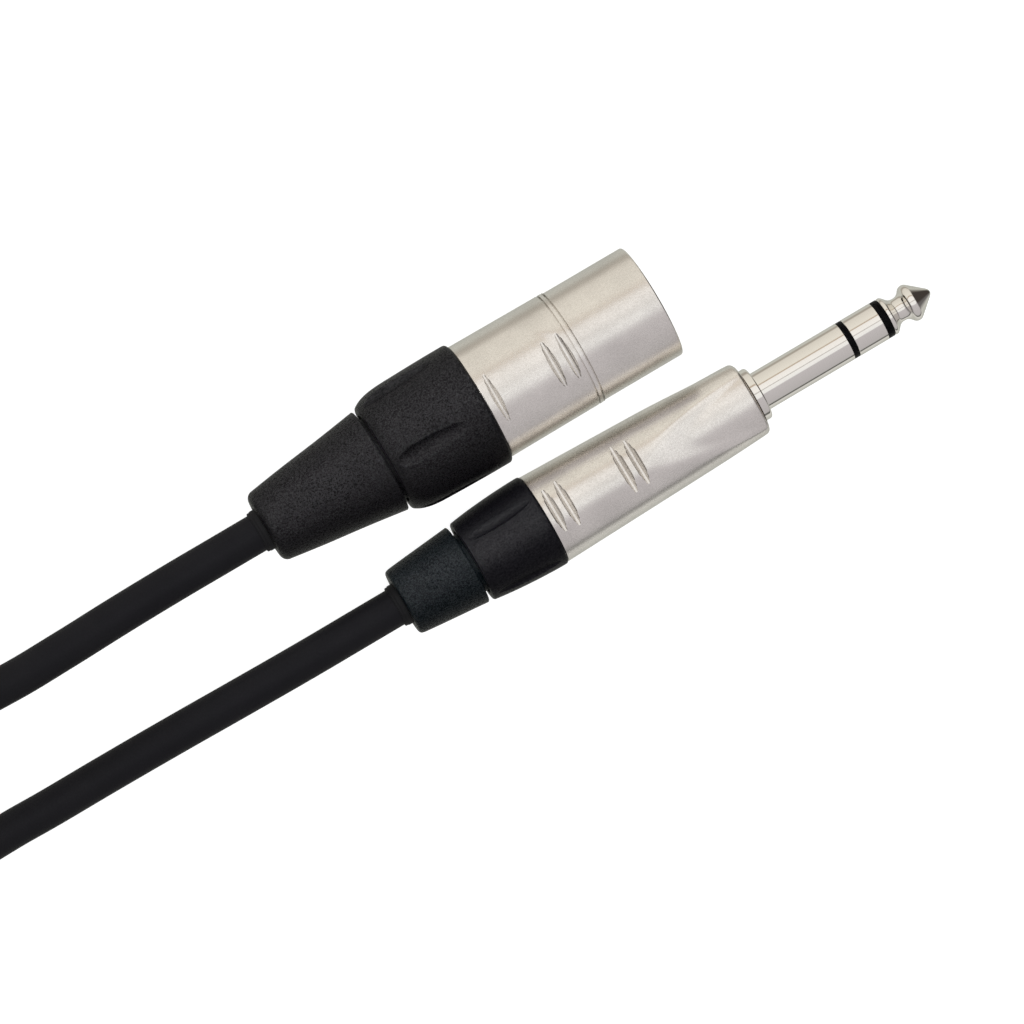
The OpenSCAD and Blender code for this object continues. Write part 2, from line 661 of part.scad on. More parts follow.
// Strap round the waist of the hank, with its end lapped over on top
module hank_tie() {
    inner_w = 2 * (run_half(0.5) + cable_r + soft_gap);
    inner_h = hank_layers * hank_pitch - (hank_pitch - cable_d) + 2 * soft_gap;
    corner = cable_r + soft_gap;
    lap_w = 8;
    color([0.05, 0.05, 0.05]) translate([near_x - hank_run / 2, hank_y, tie_t]) rotate([90, 0, 90])
        linear_extrude(height = tie_w, center = true) {
            difference() {
                rounded(inner_w + 2 * tie_t, inner_h + 2 * tie_t, corner + tie_t, -tie_t);
                rounded(inner_w, inner_h, corner, 0);
            }
            translate([-lap_w / 2, inner_h + tie_t - 0.01]) square([lap_w, tie_t]);
        }
}

// A rectangle with round corners that stands on the line y = low
module rounded(w, h, r, low) {
    translate([-w / 2 + r, low]) square([w - 2 * r, h]);
    translate([-w / 2, low + r]) square([w, h - 2 * r]);
    for (x = [-w / 2 + r, w / 2 - r]) for (y = [low + r, low + h - r]) translate([x, y]) circle(r = r);
}

// Least gap between stretches of the hank that do not follow each other, and the length of each stretch
function mid(p, q, s) = p + (q - p) * s;
fine = [for (i = [0 : len(hank_points) - 2]) for (s = [0 : 0.25 : 0.75])
    mid(hank_points[i], hank_points[i + 1], s)];
least = min([for (i = [0 : len(fine) - 1]) for (j = [i + 20 : 1 : len(fine) - 1]) norm(fine[i] - fine[j])]);
function length(p, i = 0) = i >= len(p) - 1 ? 0 : norm(p[i + 1] - p[i]) + length(p, i + 1);
echo(hank_least_gap = least - cable_d);
// Whole quarter turns until each collar has left its neck
function turns_off(neck_len, pitch) = floor(4 * neck_len / pitch + 1) / 4;
echo(xlr_turns = turns_off(xlr_neck_len, xlr_pitch), trs_turns = turns_off(trs_neck_len, trs_pitch));
echo(hank_length = length(hank_points), xlr_run = length(xlr_route), trs_run = length(trs_route));

// ---------------------------------------------------------------- nodes

xlr_shell();
xlr_insert();
xlr_pin(pin_places[0]);  // xlr_pin_1
xlr_pin(pin_places[1]);  // xlr_pin_2
xlr_pin(pin_places[2]);  // xlr_pin_3
xlr_ground_spring();
xlr_chuck();
xlr_collar();
xlr_boot();
xlr_grommet();
xlr_cable_end();
xlr_conductors();
xlr_drain_wire();
xlr_solder_joints();
trs_tip();
trs_tip_insulator();
trs_ring();
trs_ring_insulator();
trs_sleeve();
trs_tip_lug();
trs_ring_lug();
trs_sleeve_lug();
trs_lug_washer();
trs_liner();
trs_barrel();
trs_chuck();
trs_collar();
trs_boot();
trs_grommet();
trs_cable_end();
trs_conductors();
trs_drain_wire();
trs_solder_joints();
cable_run_xlr();
cable_hank();
cable_run_trs();
hank_tie();
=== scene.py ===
import json
from math import atan2, cos, degrees, pi, radians, sin, sqrt

import bpy
from mathutils import Matrix, Vector

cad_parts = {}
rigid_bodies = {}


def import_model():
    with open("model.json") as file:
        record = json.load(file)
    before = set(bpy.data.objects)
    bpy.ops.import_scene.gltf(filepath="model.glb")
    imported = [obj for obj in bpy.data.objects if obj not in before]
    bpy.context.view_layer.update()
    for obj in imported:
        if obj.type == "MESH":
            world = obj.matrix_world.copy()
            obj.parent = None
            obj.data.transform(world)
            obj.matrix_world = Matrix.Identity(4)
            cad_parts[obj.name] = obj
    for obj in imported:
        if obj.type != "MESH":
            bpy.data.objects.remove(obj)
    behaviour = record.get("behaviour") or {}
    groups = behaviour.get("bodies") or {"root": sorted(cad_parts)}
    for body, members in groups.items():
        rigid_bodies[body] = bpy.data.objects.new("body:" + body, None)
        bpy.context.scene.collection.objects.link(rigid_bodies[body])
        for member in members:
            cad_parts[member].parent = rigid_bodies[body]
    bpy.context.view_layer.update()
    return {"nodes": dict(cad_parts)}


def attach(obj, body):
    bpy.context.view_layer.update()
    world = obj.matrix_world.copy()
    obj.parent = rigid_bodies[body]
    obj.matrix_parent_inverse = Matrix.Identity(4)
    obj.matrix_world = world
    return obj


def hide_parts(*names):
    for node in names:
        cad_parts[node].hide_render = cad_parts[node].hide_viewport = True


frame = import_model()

mm = 0.001
xlrAxis = (8.95, 10.4)   # y and z of the XLR plug's axis, in mm
trsAxis = (-11.65, 7.7)

# the camera: its place in mm, its line of sight and its roll in radians
camera = {"place": (-97.64, -8.83, 955.46), "sight": (0.0863, 0.0007, -0.9963), "roll": -0.5338,
          "lens": 216.48, "sensor": 36, "nearest": 0.01, "farthest": 20}


def placeCamera(settings):
    sight = Vector(settings["sight"]).normalized()
    across = sight.cross(Vector((0, 1, 0))).normalized()
    upward = across.cross(sight)
    turn = settings["roll"]
    right = cos(turn) * across + sin(turn) * upward
    up = cos(turn) * upward - sin(turn) * across
    data = bpy.data.cameras.new("camera")
    data.sensor_width = settings["sensor"]
    data.lens = settings["lens"]
    data.clip_start = settings["nearest"]
    data.clip_end = settings["farthest"]
    shooter = bpy.data.objects.new("camera", data)
    bpy.context.scene.collection.objects.link(shooter)
    turned = Matrix((right, up, -sight)).transposed().to_4x4()
    shooter.matrix_world = Matrix.Translation(Vector(settings["place"]) * mm) @ turned
    bpy.context.scene.camera = shooter


placeCamera(camera)
print("camera placed")

# the cable, one length from plug to plug with its spare part in a tied hank
cableRun = {
    "radius": 3.03, "roundness": 8, "smoothness": 6,
    "xlrStart": [(-40, 8.95, 10.4), (-50, 8.95, 10.4)],
    "xlrRoute": [(-58.15, 8.95, 10.4), (-66, 8.95, 10.4), (-76, 8.8, 11), (-86, 8.5, 12.6), (-96, 8.4, 15),
                 (-103, 8.9, 17), (-110, 10.6, 18.8), (-118, 13.8, 20.7), (-127, 17.2, 22.1),
                 (-138, 19, 22.8)],
    "trsRoute": [(-45.35, -11.65, 7.7), (-54, -11.65, 7.7), (-66, -11.5, 6.9), (-78, -11.3, 5.1),
                 (-90, -11.2, 3.4), (-100, -11.2, 3), (-108, -11.1, 3), (-114, -11.4, 3), (-121, -12.9, 3),
                 (-129, -15.4, 3), (-138, -17, 3)],
    "trsStart": [(-28, -11.65, 7.7), (-37, -11.65, 7.7)],
}
hank = {"nearX": -144, "run": 110, "foldRadius": 18, "middleY": 1, "lowZ": 3, "pitch": 6.6, "layers": 4,
        "waistDraw": 13, "waistLift": 1.6, "waistShare": 0.4, "straightSteps": 5, "foldSteps": 7, "lead": 6}


def waistAt(share):
    return (1 - cos(pi * min(1, (0.5 - abs(share - 0.5)) / hank["waistShare"]))) / 2


def hankPoint(layer, step):
    # out on the -Y side, round the far fold, back on the +Y side, then up round the near fold
    fold, nearX, middleY = hank["foldRadius"], hank["nearX"], hank["middleY"]
    farX = nearX - hank["run"]
    z = hank["lowZ"] + layer * hank["pitch"]
    goesBack, along = divmod(step, hank["straightSteps"] + hank["foldSteps"])
    if along < hank["straightSteps"]:
        share = along / hank["straightSteps"]
        waist = waistAt(share)
        half = fold - hank["waistDraw"] * waist
        lifted = z + hank["waistLift"] * waist ** 2
        if goesBack:
            return (farX + hank["run"] * share, middleY + half, lifted)
        return (nearX - hank["run"] * share, middleY - half, lifted)
    turn = pi * (along - hank["straightSteps"]) / hank["foldSteps"]
    if goesBack:
        climb = hank["pitch"] * (1 - cos(turn)) / 2
        return (nearX + fold * sin(turn), middleY + fold * cos(turn), z + climb)
    return (farX - fold * sin(turn), middleY - fold * cos(turn), z)


def hankRoute():
    topLayer = hank["layers"] - 1
    stepsRound = 2 * (hank["straightSteps"] + hank["foldSteps"])
    topZ = hank["lowZ"] + topLayer * hank["pitch"]
    outY = hank["middleY"] + hank["foldRadius"]
    leadX = hank["nearX"] - hank["lead"]
    start = hankPoint(0, 0)
    route = [start, (leadX, start[1], hank["lowZ"])]
    for layer in range(hank["layers"]):
        first = 1 if layer == 0 else 0
        last = stepsRound - hank["foldSteps"] if layer == topLayer else stepsRound
        route += [hankPoint(layer, step) for step in range(first, last)]
    return route + [(leadX, outY, topZ), (hank["nearX"], outY, topZ)]


def layCable(name, settings):
    data = bpy.data.curves.new(name, "CURVE")
    data.dimensions = "3D"
    data.bevel_depth = 1   # the points carry the radius, so the curve's own box fits it
    data.bevel_resolution = settings["roundness"]
    data.resolution_u = settings["smoothness"]
    data.use_fill_caps = True
    points = (settings["xlrStart"] + settings["xlrRoute"] + hankRoute()[::-1]
              + settings["trsRoute"][::-1] + settings["trsStart"][::-1])
    spline = data.splines.new("BEZIER")
    spline.bezier_points.add(len(points) - 1)
    for knot, point in zip(spline.bezier_points, points):
        knot.co = Vector(point) * mm
        knot.radius = settings["radius"] * mm
        knot.handle_left_type = knot.handle_right_type = "AUTO"
    run = bpy.data.objects.new(name, data)
    bpy.context.scene.collection.objects.link(run)
    print("cable laid:", len(points), "points")
    return run


cable = layCable("cable", cableRun)
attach(cable, "plugs_and_cable")
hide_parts("cable_run_xlr", "cable_hank", "cable_run_trs")


# ways of making the plugs' pieces
def deselectAll():
    bpy.ops.object.select_all(action="DESELECT")


def selectOnly(piece):
    deselectAll()
    piece.select_set(True)
    bpy.context.view_layer.objects.active = piece


def editPiece(piece):
    selectOnly(piece)
    bpy.ops.object.mode_set(mode="EDIT")


def leaveEdit():
    bpy.ops.object.mode_set(mode="OBJECT")


def placeForGood(piece):
    selectOnly(piece)
    bpy.ops.object.transform_apply(location=True, rotation=True, scale=True)


def applyModifier(piece, modifier):
    selectOnly(piece)
    bpy.ops.object.modifier_apply(modifier=modifier.name)


def turnAllOutwards():
    bpy.ops.mesh.select_all(action="SELECT")
    bpy.ops.mesh.normals_make_consistent(inside=False)


def pullOut(x, y, z):
    # draws out what is selected by so many mm
    bpy.ops.mesh.extrude_region_move(TRANSFORM_OT_translate={"value": (x * mm, y * mm, z * mm)})


def resizeAbout(place, sizes):
    bpy.ops.transform.resize(value=sizes, center_override=[value * mm for value in place])


def boxPiece(place, sides):
    deselectAll()
    bpy.ops.mesh.primitive_cube_add(size=1, location=[value * mm for value in place])
    box = bpy.context.object
    box.scale = [side * mm for side in sides]
    placeForGood(box)
    return box


def roundedEdge(x, r, size, start, end, steps):
    # stations of a rounded corner: 90 degrees points away from the axis, 0 towards +X
    turns = [radians(start + (end - start) * i / steps) for i in range(steps + 1)]
    return [(x + size * cos(t), r + size * sin(t)) for t in turns]


def smoothStations(points, steps):
    # a flowing outline through the given stations
    flow = []
    for i in range(len(points) - 1):
        a, b = points[max(i - 1, 0)], points[i]
        c, d = points[i + 1], points[min(i + 2, len(points) - 1)]
        for k in range(steps):
            t = k / steps
            flow.append(tuple(
                0.5 * (2 * b[n] + (c[n] - a[n]) * t + (2 * a[n] - 5 * b[n] + 4 * c[n] - d[n]) * t ** 2
                       + (3 * b[n] - a[n] - 3 * c[n] + d[n]) * t ** 3) for n in (0, 1)))
    return flow + [points[-1]]


def threadStations(shape, rear, front):
    # ridges of the thread, seen when a collar is unscrewed
    crest, pitch, stations = shape["neck"], shape["pitch"], []
    root = crest - shape["threadDepth"]
    start, end = rear + shape["threadInset"][0], front - shape["threadInset"][1]
    for i in range(int((end - start) / pitch)):
        x = start + i * pitch
        stations += [(x, crest), (x + pitch * 0.3, root), (x + pitch * 0.45, root), (x + pitch * 0.75, crest)]
    return stations


def turnedPiece(name, axis, stations, sides):
    # a ring drawn out along the plug, station by station, as on a lathe
    y, z = axis
    x, r = stations[0]
    deselectAll()
    bpy.ops.mesh.primitive_circle_add(vertices=sides, radius=r * mm, fill_type="NOTHING",
                                      location=(x * mm, y * mm, z * mm), rotation=(0, pi / 2, 0))
    piece = bpy.context.object
    piece.name = piece.data.name = name
    placeForGood(piece)
    editPiece(piece)
    bpy.ops.mesh.select_mode(type="VERT")
    bpy.ops.mesh.select_all(action="SELECT")
    for (xa, ra), (xb, rb) in zip(stations, stations[1:]):
        pullOut(xb - xa, 0, 0)
        if rb != ra:
            resizeAbout((xb, y, z), (1, rb / ra, rb / ra))
    bpy.ops.mesh.select_all(action="SELECT")
    bpy.ops.mesh.remove_doubles(threshold=0.000002)   # the last ring meets the first
    turnAllOutwards()
    leaveEdit()
    return piece


def cutAway(piece, cutter):
    cut = piece.modifiers.new("cut", "BOOLEAN")
    cut.operation = "DIFFERENCE"
    cut.solver = "EXACT"
    cut.object = cutter
    applyModifier(piece, cut)
    bpy.data.objects.remove(cutter)


# how the grooves are pressed: each runs right across, and its cutter opens out above the metal
pressing = {"halfLength": 14, "clearRise": 1.0, "clearRun": 0.75}


def ribbedWalls(middle, half, ribs, shallow, steep):
    # both walls of a pressed groove: ribs that lie flatter, with steep lips between them
    steps = []
    for rise, run in (shallow, steep) * ribs:
        half += run
        steps.append((rise, middle - half, middle + half))
    half += pressing["clearRun"]
    return steps + [(pressing["clearRise"], middle - half, middle + half)]


def troughCutter(axis, floor, steps, angle):
    # floor is (x0, x1, z); each step is (rise, x0, x1) and widens the trough; angle turns it towards -Y
    y, x0, x1, z = axis[0], *floor
    deselectAll()
    bpy.ops.mesh.primitive_plane_add(size=1, location=((x0 + x1) / 2 * mm, y * mm, z * mm))
    cutter = bpy.context.object
    cutter.scale = ((x1 - x0) * mm, 2 * pressing["halfLength"] * mm, 1)
    placeForGood(cutter)
    editPiece(cutter)
    bpy.ops.mesh.select_all(action="SELECT")
    for rise, left, right in steps:
        pullOut(0, 0, rise)
        z += rise
        grow = (right - left) / (x1 - x0)
        if abs(grow - 1) > 0.001:
            resizeAbout(((left - grow * x0) / (1 - grow), y, z), (grow, 1, 1))
        x0, x1 = left, right
    turnAllOutwards()
    leaveEdit()
    centre = Vector((0, axis[0], axis[1])) * mm
    turn = Matrix.Rotation(radians(angle), 4, "X")
    cutter.matrix_world = Matrix.Translation(centre) @ turn @ Matrix.Translation(-centre)
    placeForGood(cutter)
    return cutter


def fluteCutter(axis, scoop, angle):
    # a long drop that bites into the collar; angle is from the top, towards +Y
    y, z = axis
    away = scoop["surface"] - scoop["depth"] + scoop["width"]
    deselectAll()
    bpy.ops.mesh.primitive_uv_sphere_add(segments=64, ring_count=48, radius=1, location=(0, 0, 0),
                                         rotation=(0, pi / 2, 0))
    cutter = bpy.context.object
    placeForGood(cutter)
    cutter.scale = (scoop["length"] * mm, scoop["width"] * mm, scoop["width"] * mm)
    placeForGood(cutter)
    cutter.rotation_euler = (0, -radians(scoop["tilt"]), 0)
    placeForGood(cutter)
    cutter.location = (0, 0, away * mm)
    placeForGood(cutter)
    cutter.rotation_euler = (-radians(angle), 0, 0)
    placeForGood(cutter)
    cutter.location = (scoop["x"] * mm, y * mm, z * mm)
    placeForGood(cutter)
    return cutter


def easeBetween(value, low, high):
    share = max(0.0, min(1.0, (value - low) / (high - low)))
    return share * share * (3 - 2 * share)


def pressPad(piece, axis, pad):
    # eases a patch of the outer surface inwards, as a moulded pad
    y, z = axis
    for corner in piece.data.vertices:
        dy, dz = corner.co.y / mm - y, corner.co.z / mm - z
        r = sqrt(dy * dy + dz * dz)
        x = corner.co.x / mm
        around = (degrees(atan2(dy, dz)) - pad["centre"] + 180) % 360 - 180
        bend = abs(around) / pad["half"]
        if r < pad["above"] or bend >= 1:
            continue
        rear = pad["rear"][0] + (pad["rear"][1] - pad["rear"][0]) * bend ** 2
        front = pad["front"][0] + (pad["front"][1] - pad["front"][0]) * bend ** 2
        along = easeBetween(x, rear, rear + pad["easeIn"])
        along *= 1 - easeBetween(x, front, front + pad["easeOut"])
        drop = pad["depth"] * along * cos(bend * pi / 2) ** pad["power"]
        corner.co.y = (y + dy * (r - drop) / r) * mm
        corner.co.z = (z + dz * (r - drop) / r) * mm


def finishPiece(piece, material, body, node, angle):
    # edges that turn by more than so many degrees stay sharp
    selectOnly(piece)
    bpy.ops.object.shade_smooth_by_angle(angle=radians(angle))
    piece.data.materials.clear()
    piece.data.materials.append(material)
    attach(piece, body)
    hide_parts(node)
    print("made", piece.name, len(piece.data.polygons), "faces")


# ways of mixing materials: an input takes a value, with three numbers for a colour, or a node's output
def feed(tree, node, inputs):
    for key, value in inputs.items():
        socket = node.inputs[key]
        if isinstance(value, bpy.types.NodeSocket):
            tree.links.new(value, socket)
        else:
            socket.default_value = (*value, 1) if socket.type == "RGBA" else value


def addNode(tree, kind, inputs=None, **settings):
    node = tree.nodes.new("ShaderNode" + kind)
    for key, value in settings.items():
        setattr(node, key, value)
    feed(tree, node, inputs or {})
    return node


def maths(tree, operation, *values):
    return addNode(tree, "Math", dict(enumerate(values)), operation=operation).outputs[0]


def remap(tree, value, low, high, toLow=0, toHigh=1):
    return addNode(tree, "MapRange", {"Value": value, "From Min": low, "From Max": high,
                                      "To Min": toLow, "To Max": toHigh}).outputs[0]


def mixColours(tree, share, plain, other):
    return addNode(tree, "Mix", {"Factor": share, "A": plain, "B": other}, data_type="RGBA").outputs["Result"]


def scaleColour(tree, colour, strength):
    return addNode(tree, "VectorMath", {0: colour, "Scale": strength}, operation="SCALE").outputs[0]


def onPiece(tree):
    return addNode(tree, "TexCoord").outputs["Object"]


def noise(tree, place, scale, detail, roughness=0.5):
    return addNode(tree, "TexNoise", {"Vector": place, "Scale": scale, "Detail": detail,
                                      "Roughness": roughness}).outputs[0]


def bump(tree, height, strength, distance):
    # distance is in metres
    return addNode(tree, "Bump", {"Height": height, "Strength": strength, "Distance": distance}).outputs[0]


def startGroup(name, inputs, outputs):
    group = bpy.data.node_groups.new(name, "ShaderNodeTree")
    for label, value in inputs.items():
        kind = "NodeSocketColor" if isinstance(value, tuple) else "NodeSocketFloat"
        group.interface.new_socket(label, in_out="INPUT", socket_type=kind).default_value = value
    for label, kind in outputs.items():
        group.interface.new_socket(label, in_out="OUTPUT", socket_type="NodeSocket" + kind)
    return group, group.nodes.new("NodeGroupInput").outputs, group.nodes.new("NodeGroupOutput")


grainEffect = {"coarse": (3, 0.65), "fine": (2, 0.6), "finer": 2.6, "speckFrom": 0.82, "speckTo": 1.2,
               "cloudScale": 160, "cloudDetail": 3, "cloudTint": (0.93, 1.05), "roughSpread": (0.85, 1.25),
               "relief": 0.00013}


def makeBlastedGrain(effect):
    # fine sandblasted specks: colour, roughness, shine and bump move together
    group, start, end = startGroup("blastedGrain", {
        "Base": (0.6, 0.58, 0.55, 1), "Speck": (0.3, 0.29, 0.27, 1), "Scale": 3000, "Amount": 0.4,
        "Roughness": 0.3, "Depth": 0.1, "Specular": 0.5, "Sparkle": 0,
    }, {"Color": "Color", "Roughness": "Float", "Specular": "Float", "Normal": "Vector"})
    place = onPiece(group)
    coarse = noise(group, place, start["Scale"], *effect["coarse"])
    fine = noise(group, place, maths(group, "MULTIPLY", start["Scale"], effect["finer"]), *effect["fine"])
    both = maths(group, "ADD", coarse, fine)
    mask = remap(group, both, effect["speckFrom"], effect["speckTo"])
    tint = mixColours(group, maths(group, "MULTIPLY", mask, start["Amount"]), start["Base"], start["Speck"])
    cloud = noise(group, place, effect["cloudScale"], effect["cloudDetail"])
    drift = remap(group, cloud, 0.3, 0.7, *effect["cloudTint"])
    spread = remap(group, mask, 0, 1, *effect["roughSpread"])
    centred = maths(group, "MULTIPLY_ADD", mask, 2, -1)   # -1 between the specks, 1 on them
    gain = maths(group, "MULTIPLY_ADD", centred, start["Sparkle"], 1)
    feed(group, end, {
        "Color": scaleColour(group, tint, drift),
        "Roughness": maths(group, "MULTIPLY", spread, start["Roughness"]),
        "Specular": maths(group, "MULTIPLY", gain, start["Specular"]),
        "Normal": bump(group, both, start["Depth"], effect["relief"])})
    return group


wearEffect = {"reach": 0.54, "strength": 0.5, "scale": 900, "detail": 3, "ragged": 0.03, "fade": 0.05}


def makeEdgeWear(effect):
    # mask of the sharp outer edges, broken up by noise
    group, start, end = startGroup("edgeWear", {"Reach": effect["reach"]}, {"Mask": "Float"})
    patch = noise(group, onPiece(group), effect["scale"], effect["detail"])
    lift = remap(group, patch, 0, 1, -effect["ragged"], effect["ragged"])
    total = maths(group, "ADD", addNode(group, "NewGeometry").outputs["Pointiness"], lift)
    high = maths(group, "ADD", start["Reach"], effect["fade"])
    feed(group, end, {"Mask": remap(group, total, start["Reach"], high)})
    return group


blastedGrain = makeBlastedGrain(grainEffect)
edgeWear = makeEdgeWear(wearEffect)


def startMaterial(name):
    material = bpy.data.materials.new(name)
    material.use_nodes = True
    return material, material.node_tree, material.node_tree.nodes["Principled BSDF"]


def grainNode(tree, look):
    return addNode(tree, "Group", {
        "Base": look["base"], "Speck": look["speck"], "Scale": look["scale"], "Amount": look["amount"],
        "Roughness": look["roughness"], "Depth": look["depth"], "Specular": look.get("specular", 0.5),
        "Sparkle": look.get("sparkle", 0)}, node_tree=blastedGrain).outputs


def grainMaterial(name, look):
    material, tree, shader = startMaterial(name)
    grain = grainNode(tree, look)
    wear = addNode(tree, "Group", {"Reach": wearEffect["reach"]}, node_tree=edgeWear).outputs["Mask"]
    worn = maths(tree, "MULTIPLY", wear, wearEffect["strength"])
    feed(tree, shader, {
        "Base Color": mixColours(tree, worn, grain["Color"], look["worn"]),
        "Roughness": grain["Roughness"], "Normal": grain["Normal"], "Specular IOR Level": grain["Specular"],
        "Metallic": look.get("metallic", 0)})
    return material


satinNickel = grainMaterial("satinNickel", {
    "base": (0.86, 0.83, 0.79), "speck": (0.55, 0.53, 0.50), "worn": (0.90, 0.88, 0.85), "scale": 3600,
    "amount": 0.4, "roughness": 0.27, "depth": 0.06, "metallic": 1})
xlrMoulding = grainMaterial("xlrMoulding", {
    "base": (0.0011, 0.0010, 0.0012), "speck": (0.0050, 0.0047, 0.0056), "worn": (0.008, 0.008, 0.009),
    "scale": 3400, "amount": 0.6, "roughness": 0.29, "depth": 0.8, "specular": 0.075, "sparkle": 0.9})
trsBootMoulding = grainMaterial("trsBootMoulding", {
    "base": (0.0003, 0.0008, 0.0012), "speck": (0.0018, 0.0038, 0.0052), "worn": (0.006, 0.007, 0.008),
    "scale": 3400, "amount": 0.6, "roughness": 0.28, "depth": 0.8, "specular": 0.08, "sparkle": 0.9})
trsCollarMoulding = grainMaterial("trsCollarMoulding", {
    "base": (0.0016, 0.0015, 0.002), "speck": (0.005, 0.0048, 0.006), "worn": (0.008, 0.008, 0.009),
    "scale": 3400, "amount": 0.5, "roughness": 0.3, "depth": 0.4, "specular": 0.043, "sparkle": 0.7})
insertMoulding = grainMaterial("insertMoulding", {
    "base": (0.015, 0.015, 0.016), "speck": (0.03, 0.03, 0.03), "worn": (0.04, 0.04, 0.04), "scale": 1500,
    "amount": 0.4, "roughness": 0.42, "depth": 0.1})
softRubber = grainMaterial("softRubber", {
    "base": (0.010, 0.010, 0.011), "speck": (0.018, 0.018, 0.019), "worn": (0.02, 0.02, 0.02), "scale": 3000,
    "amount": 0.5, "roughness": 0.6, "depth": 0.2, "specular": 0.12})
naturalPlastic = grainMaterial("naturalPlastic", {
    "base": (0.78, 0.75, 0.66), "speck": (0.66, 0.63, 0.54), "worn": (0.85, 0.83, 0.76), "scale": 900,
    "amount": 0.4, "roughness": 0.4, "depth": 0.08})
contactGold = grainMaterial("contactGold", {
    "base": (0.80, 0.62, 0.30), "speck": (0.66, 0.50, 0.24), "worn": (0.90, 0.78, 0.50), "scale": 1400,
    "amount": 0.35, "roughness": 0.18, "depth": 0.04, "metallic": 1})
tinnedBrass = grainMaterial("tinnedBrass", {
    "base": (0.66, 0.63, 0.54), "speck": (0.5, 0.47, 0.38), "worn": (0.75, 0.66, 0.42), "scale": 1100,
    "amount": 0.5, "roughness": 0.32, "depth": 0.08, "metallic": 1})
dullSolder = grainMaterial("dullSolder", {
    "base": (0.55, 0.55, 0.56), "speck": (0.38, 0.38, 0.39), "worn": (0.66, 0.66, 0.67), "scale": 700,
    "amount": 0.5, "roughness": 0.35, "depth": 0.3, "metallic": 1})
pressedFibre = grainMaterial("pressedFibre", {
    "base": (0.30, 0.12, 0.06), "speck": (0.18, 0.07, 0.035), "worn": (0.42, 0.2, 0.1), "scale": 1200,
    "amount": 0.7, "roughness": 0.6, "depth": 0.3})


def makePolishedNickel(look):
    # polished plating with faint turning marks round the shaft
    material, tree, shader = startMaterial("polishedNickel")
    stretch = addNode(tree, "Mapping", {"Vector": onPiece(tree), "Scale": look["marks"]})
    marks = noise(tree, stretch.outputs[0], 1, look["detail"])
    feed(tree, shader, {
        "Base Color": mixColours(tree, marks, look["base"], look["shade"]),
        "Roughness": remap(tree, marks, 0, 1, *look["roughness"]),
        "Normal": bump(tree, marks, look["depth"], look["relief"]), "Metallic": 1})
    return material


polishedNickel = makePolishedNickel({
    "base": (0.86, 0.84, 0.80), "shade": (0.78, 0.755, 0.71), "marks": (9000, 300, 300), "detail": 4,
    "roughness": (0.05, 0.12), "depth": 0.05, "relief": 0.00002})


def makeCableJacket(look):
    # matt extruded jacket: fine specks, and dust in soft patches
    material, tree, shader = startMaterial("cableJacket")
    grain = grainNode(tree, look)
    scuffs = noise(tree, onPiece(tree), look["scuffScale"], 4, 0.6)
    dust = remap(tree, scuffs, *look["scuffSpan"], 0, look["scuff"])
    feed(tree, shader, {
        "Base Color": mixColours(tree, dust, grain["Color"], look["dust"]), "Roughness": grain["Roughness"],
        "Normal": grain["Normal"], "Specular IOR Level": look["specular"]})
    return material


cableJacket = makeCableJacket({
    "base": (0.0105, 0.0102, 0.0122), "speck": (0.014, 0.014, 0.016), "dust": (0.02, 0.02, 0.021),
    "scale": 3200, "amount": 0.5, "roughness": 0.5, "depth": 0.15, "specular": 0.08, "scuff": 0.25,
    "scuffScale": 90, "scuffSpan": (0.45, 0.75)})


def makeTieWebbing(look):
    # woven strap: ribs across its width crossed by threads along the loop
    material, tree, shader = startMaterial("tieWebbing")
    place = onPiece(tree)
    split = addNode(tree, "SeparateXYZ", {0: place}).outputs
    loopWay = maths(tree, "ADD", split["Y"], split["Z"])
    ribs, threads = (
        maths(tree, "SINE", maths(tree, "MULTIPLY", way, 2 * pi / (pitch * mm)))
        for way, pitch in ((split["X"], look["ribPitch"]), (loopWay, look["threadPitch"])))
    weave = remap(tree, maths(tree, "MULTIPLY", ribs, threads), -1, 1)
    fuzz = noise(tree, place, look["fuzzScale"], 3)
    soft = maths(tree, "MULTIPLY_ADD", fuzz, look["fuzz"], weave)
    feed(tree, shader, {
        "Base Color": mixColours(tree, soft, look["low"], look["high"]),
        "Normal": bump(tree, soft, look["depth"], look["relief"]), "Roughness": look["roughness"],
        "Sheen Weight": look["sheen"]})
    return material


tieWebbing = makeTieWebbing({
    "low": (0.006, 0.006, 0.0065), "high": (0.022, 0.022, 0.024), "ribPitch": 1.3, "threadPitch": 1.1,
    "fuzzScale": 2500, "fuzz": 0.35, "depth": 0.8, "relief": 0.0002, "roughness": 0.85, "sheen": 0.25})

coreLook = {"one": (0.72, 0.71, 0.68), "other": (0.55, 0.03, 0.02), "smudge": (0.8, 1.1), "smudgeScale": 1200,
            "roughness": 0.35}


def makeCores(name, look, way, divide):
    # two insulated cores, told apart by where they lie across the plug
    material, tree, shader = startMaterial(name)
    place = onPiece(tree)
    split = addNode(tree, "SeparateXYZ", {0: place}).outputs
    paint = mixColours(tree, maths(tree, "GREATER_THAN", split[way], divide * mm), look["one"], look["other"])
    shade = remap(tree, noise(tree, place, look["smudgeScale"], 3), 0, 1, *look["smudge"])
    feed(tree, shader, {"Base Color": scaleColour(tree, paint, shade), "Roughness": look["roughness"]})
    return material


xlrCores = makeCores("xlrCores", coreLook, "Z", 10.15)
trsCores = makeCores("trsCores", coreLook, "Y", -11.8)


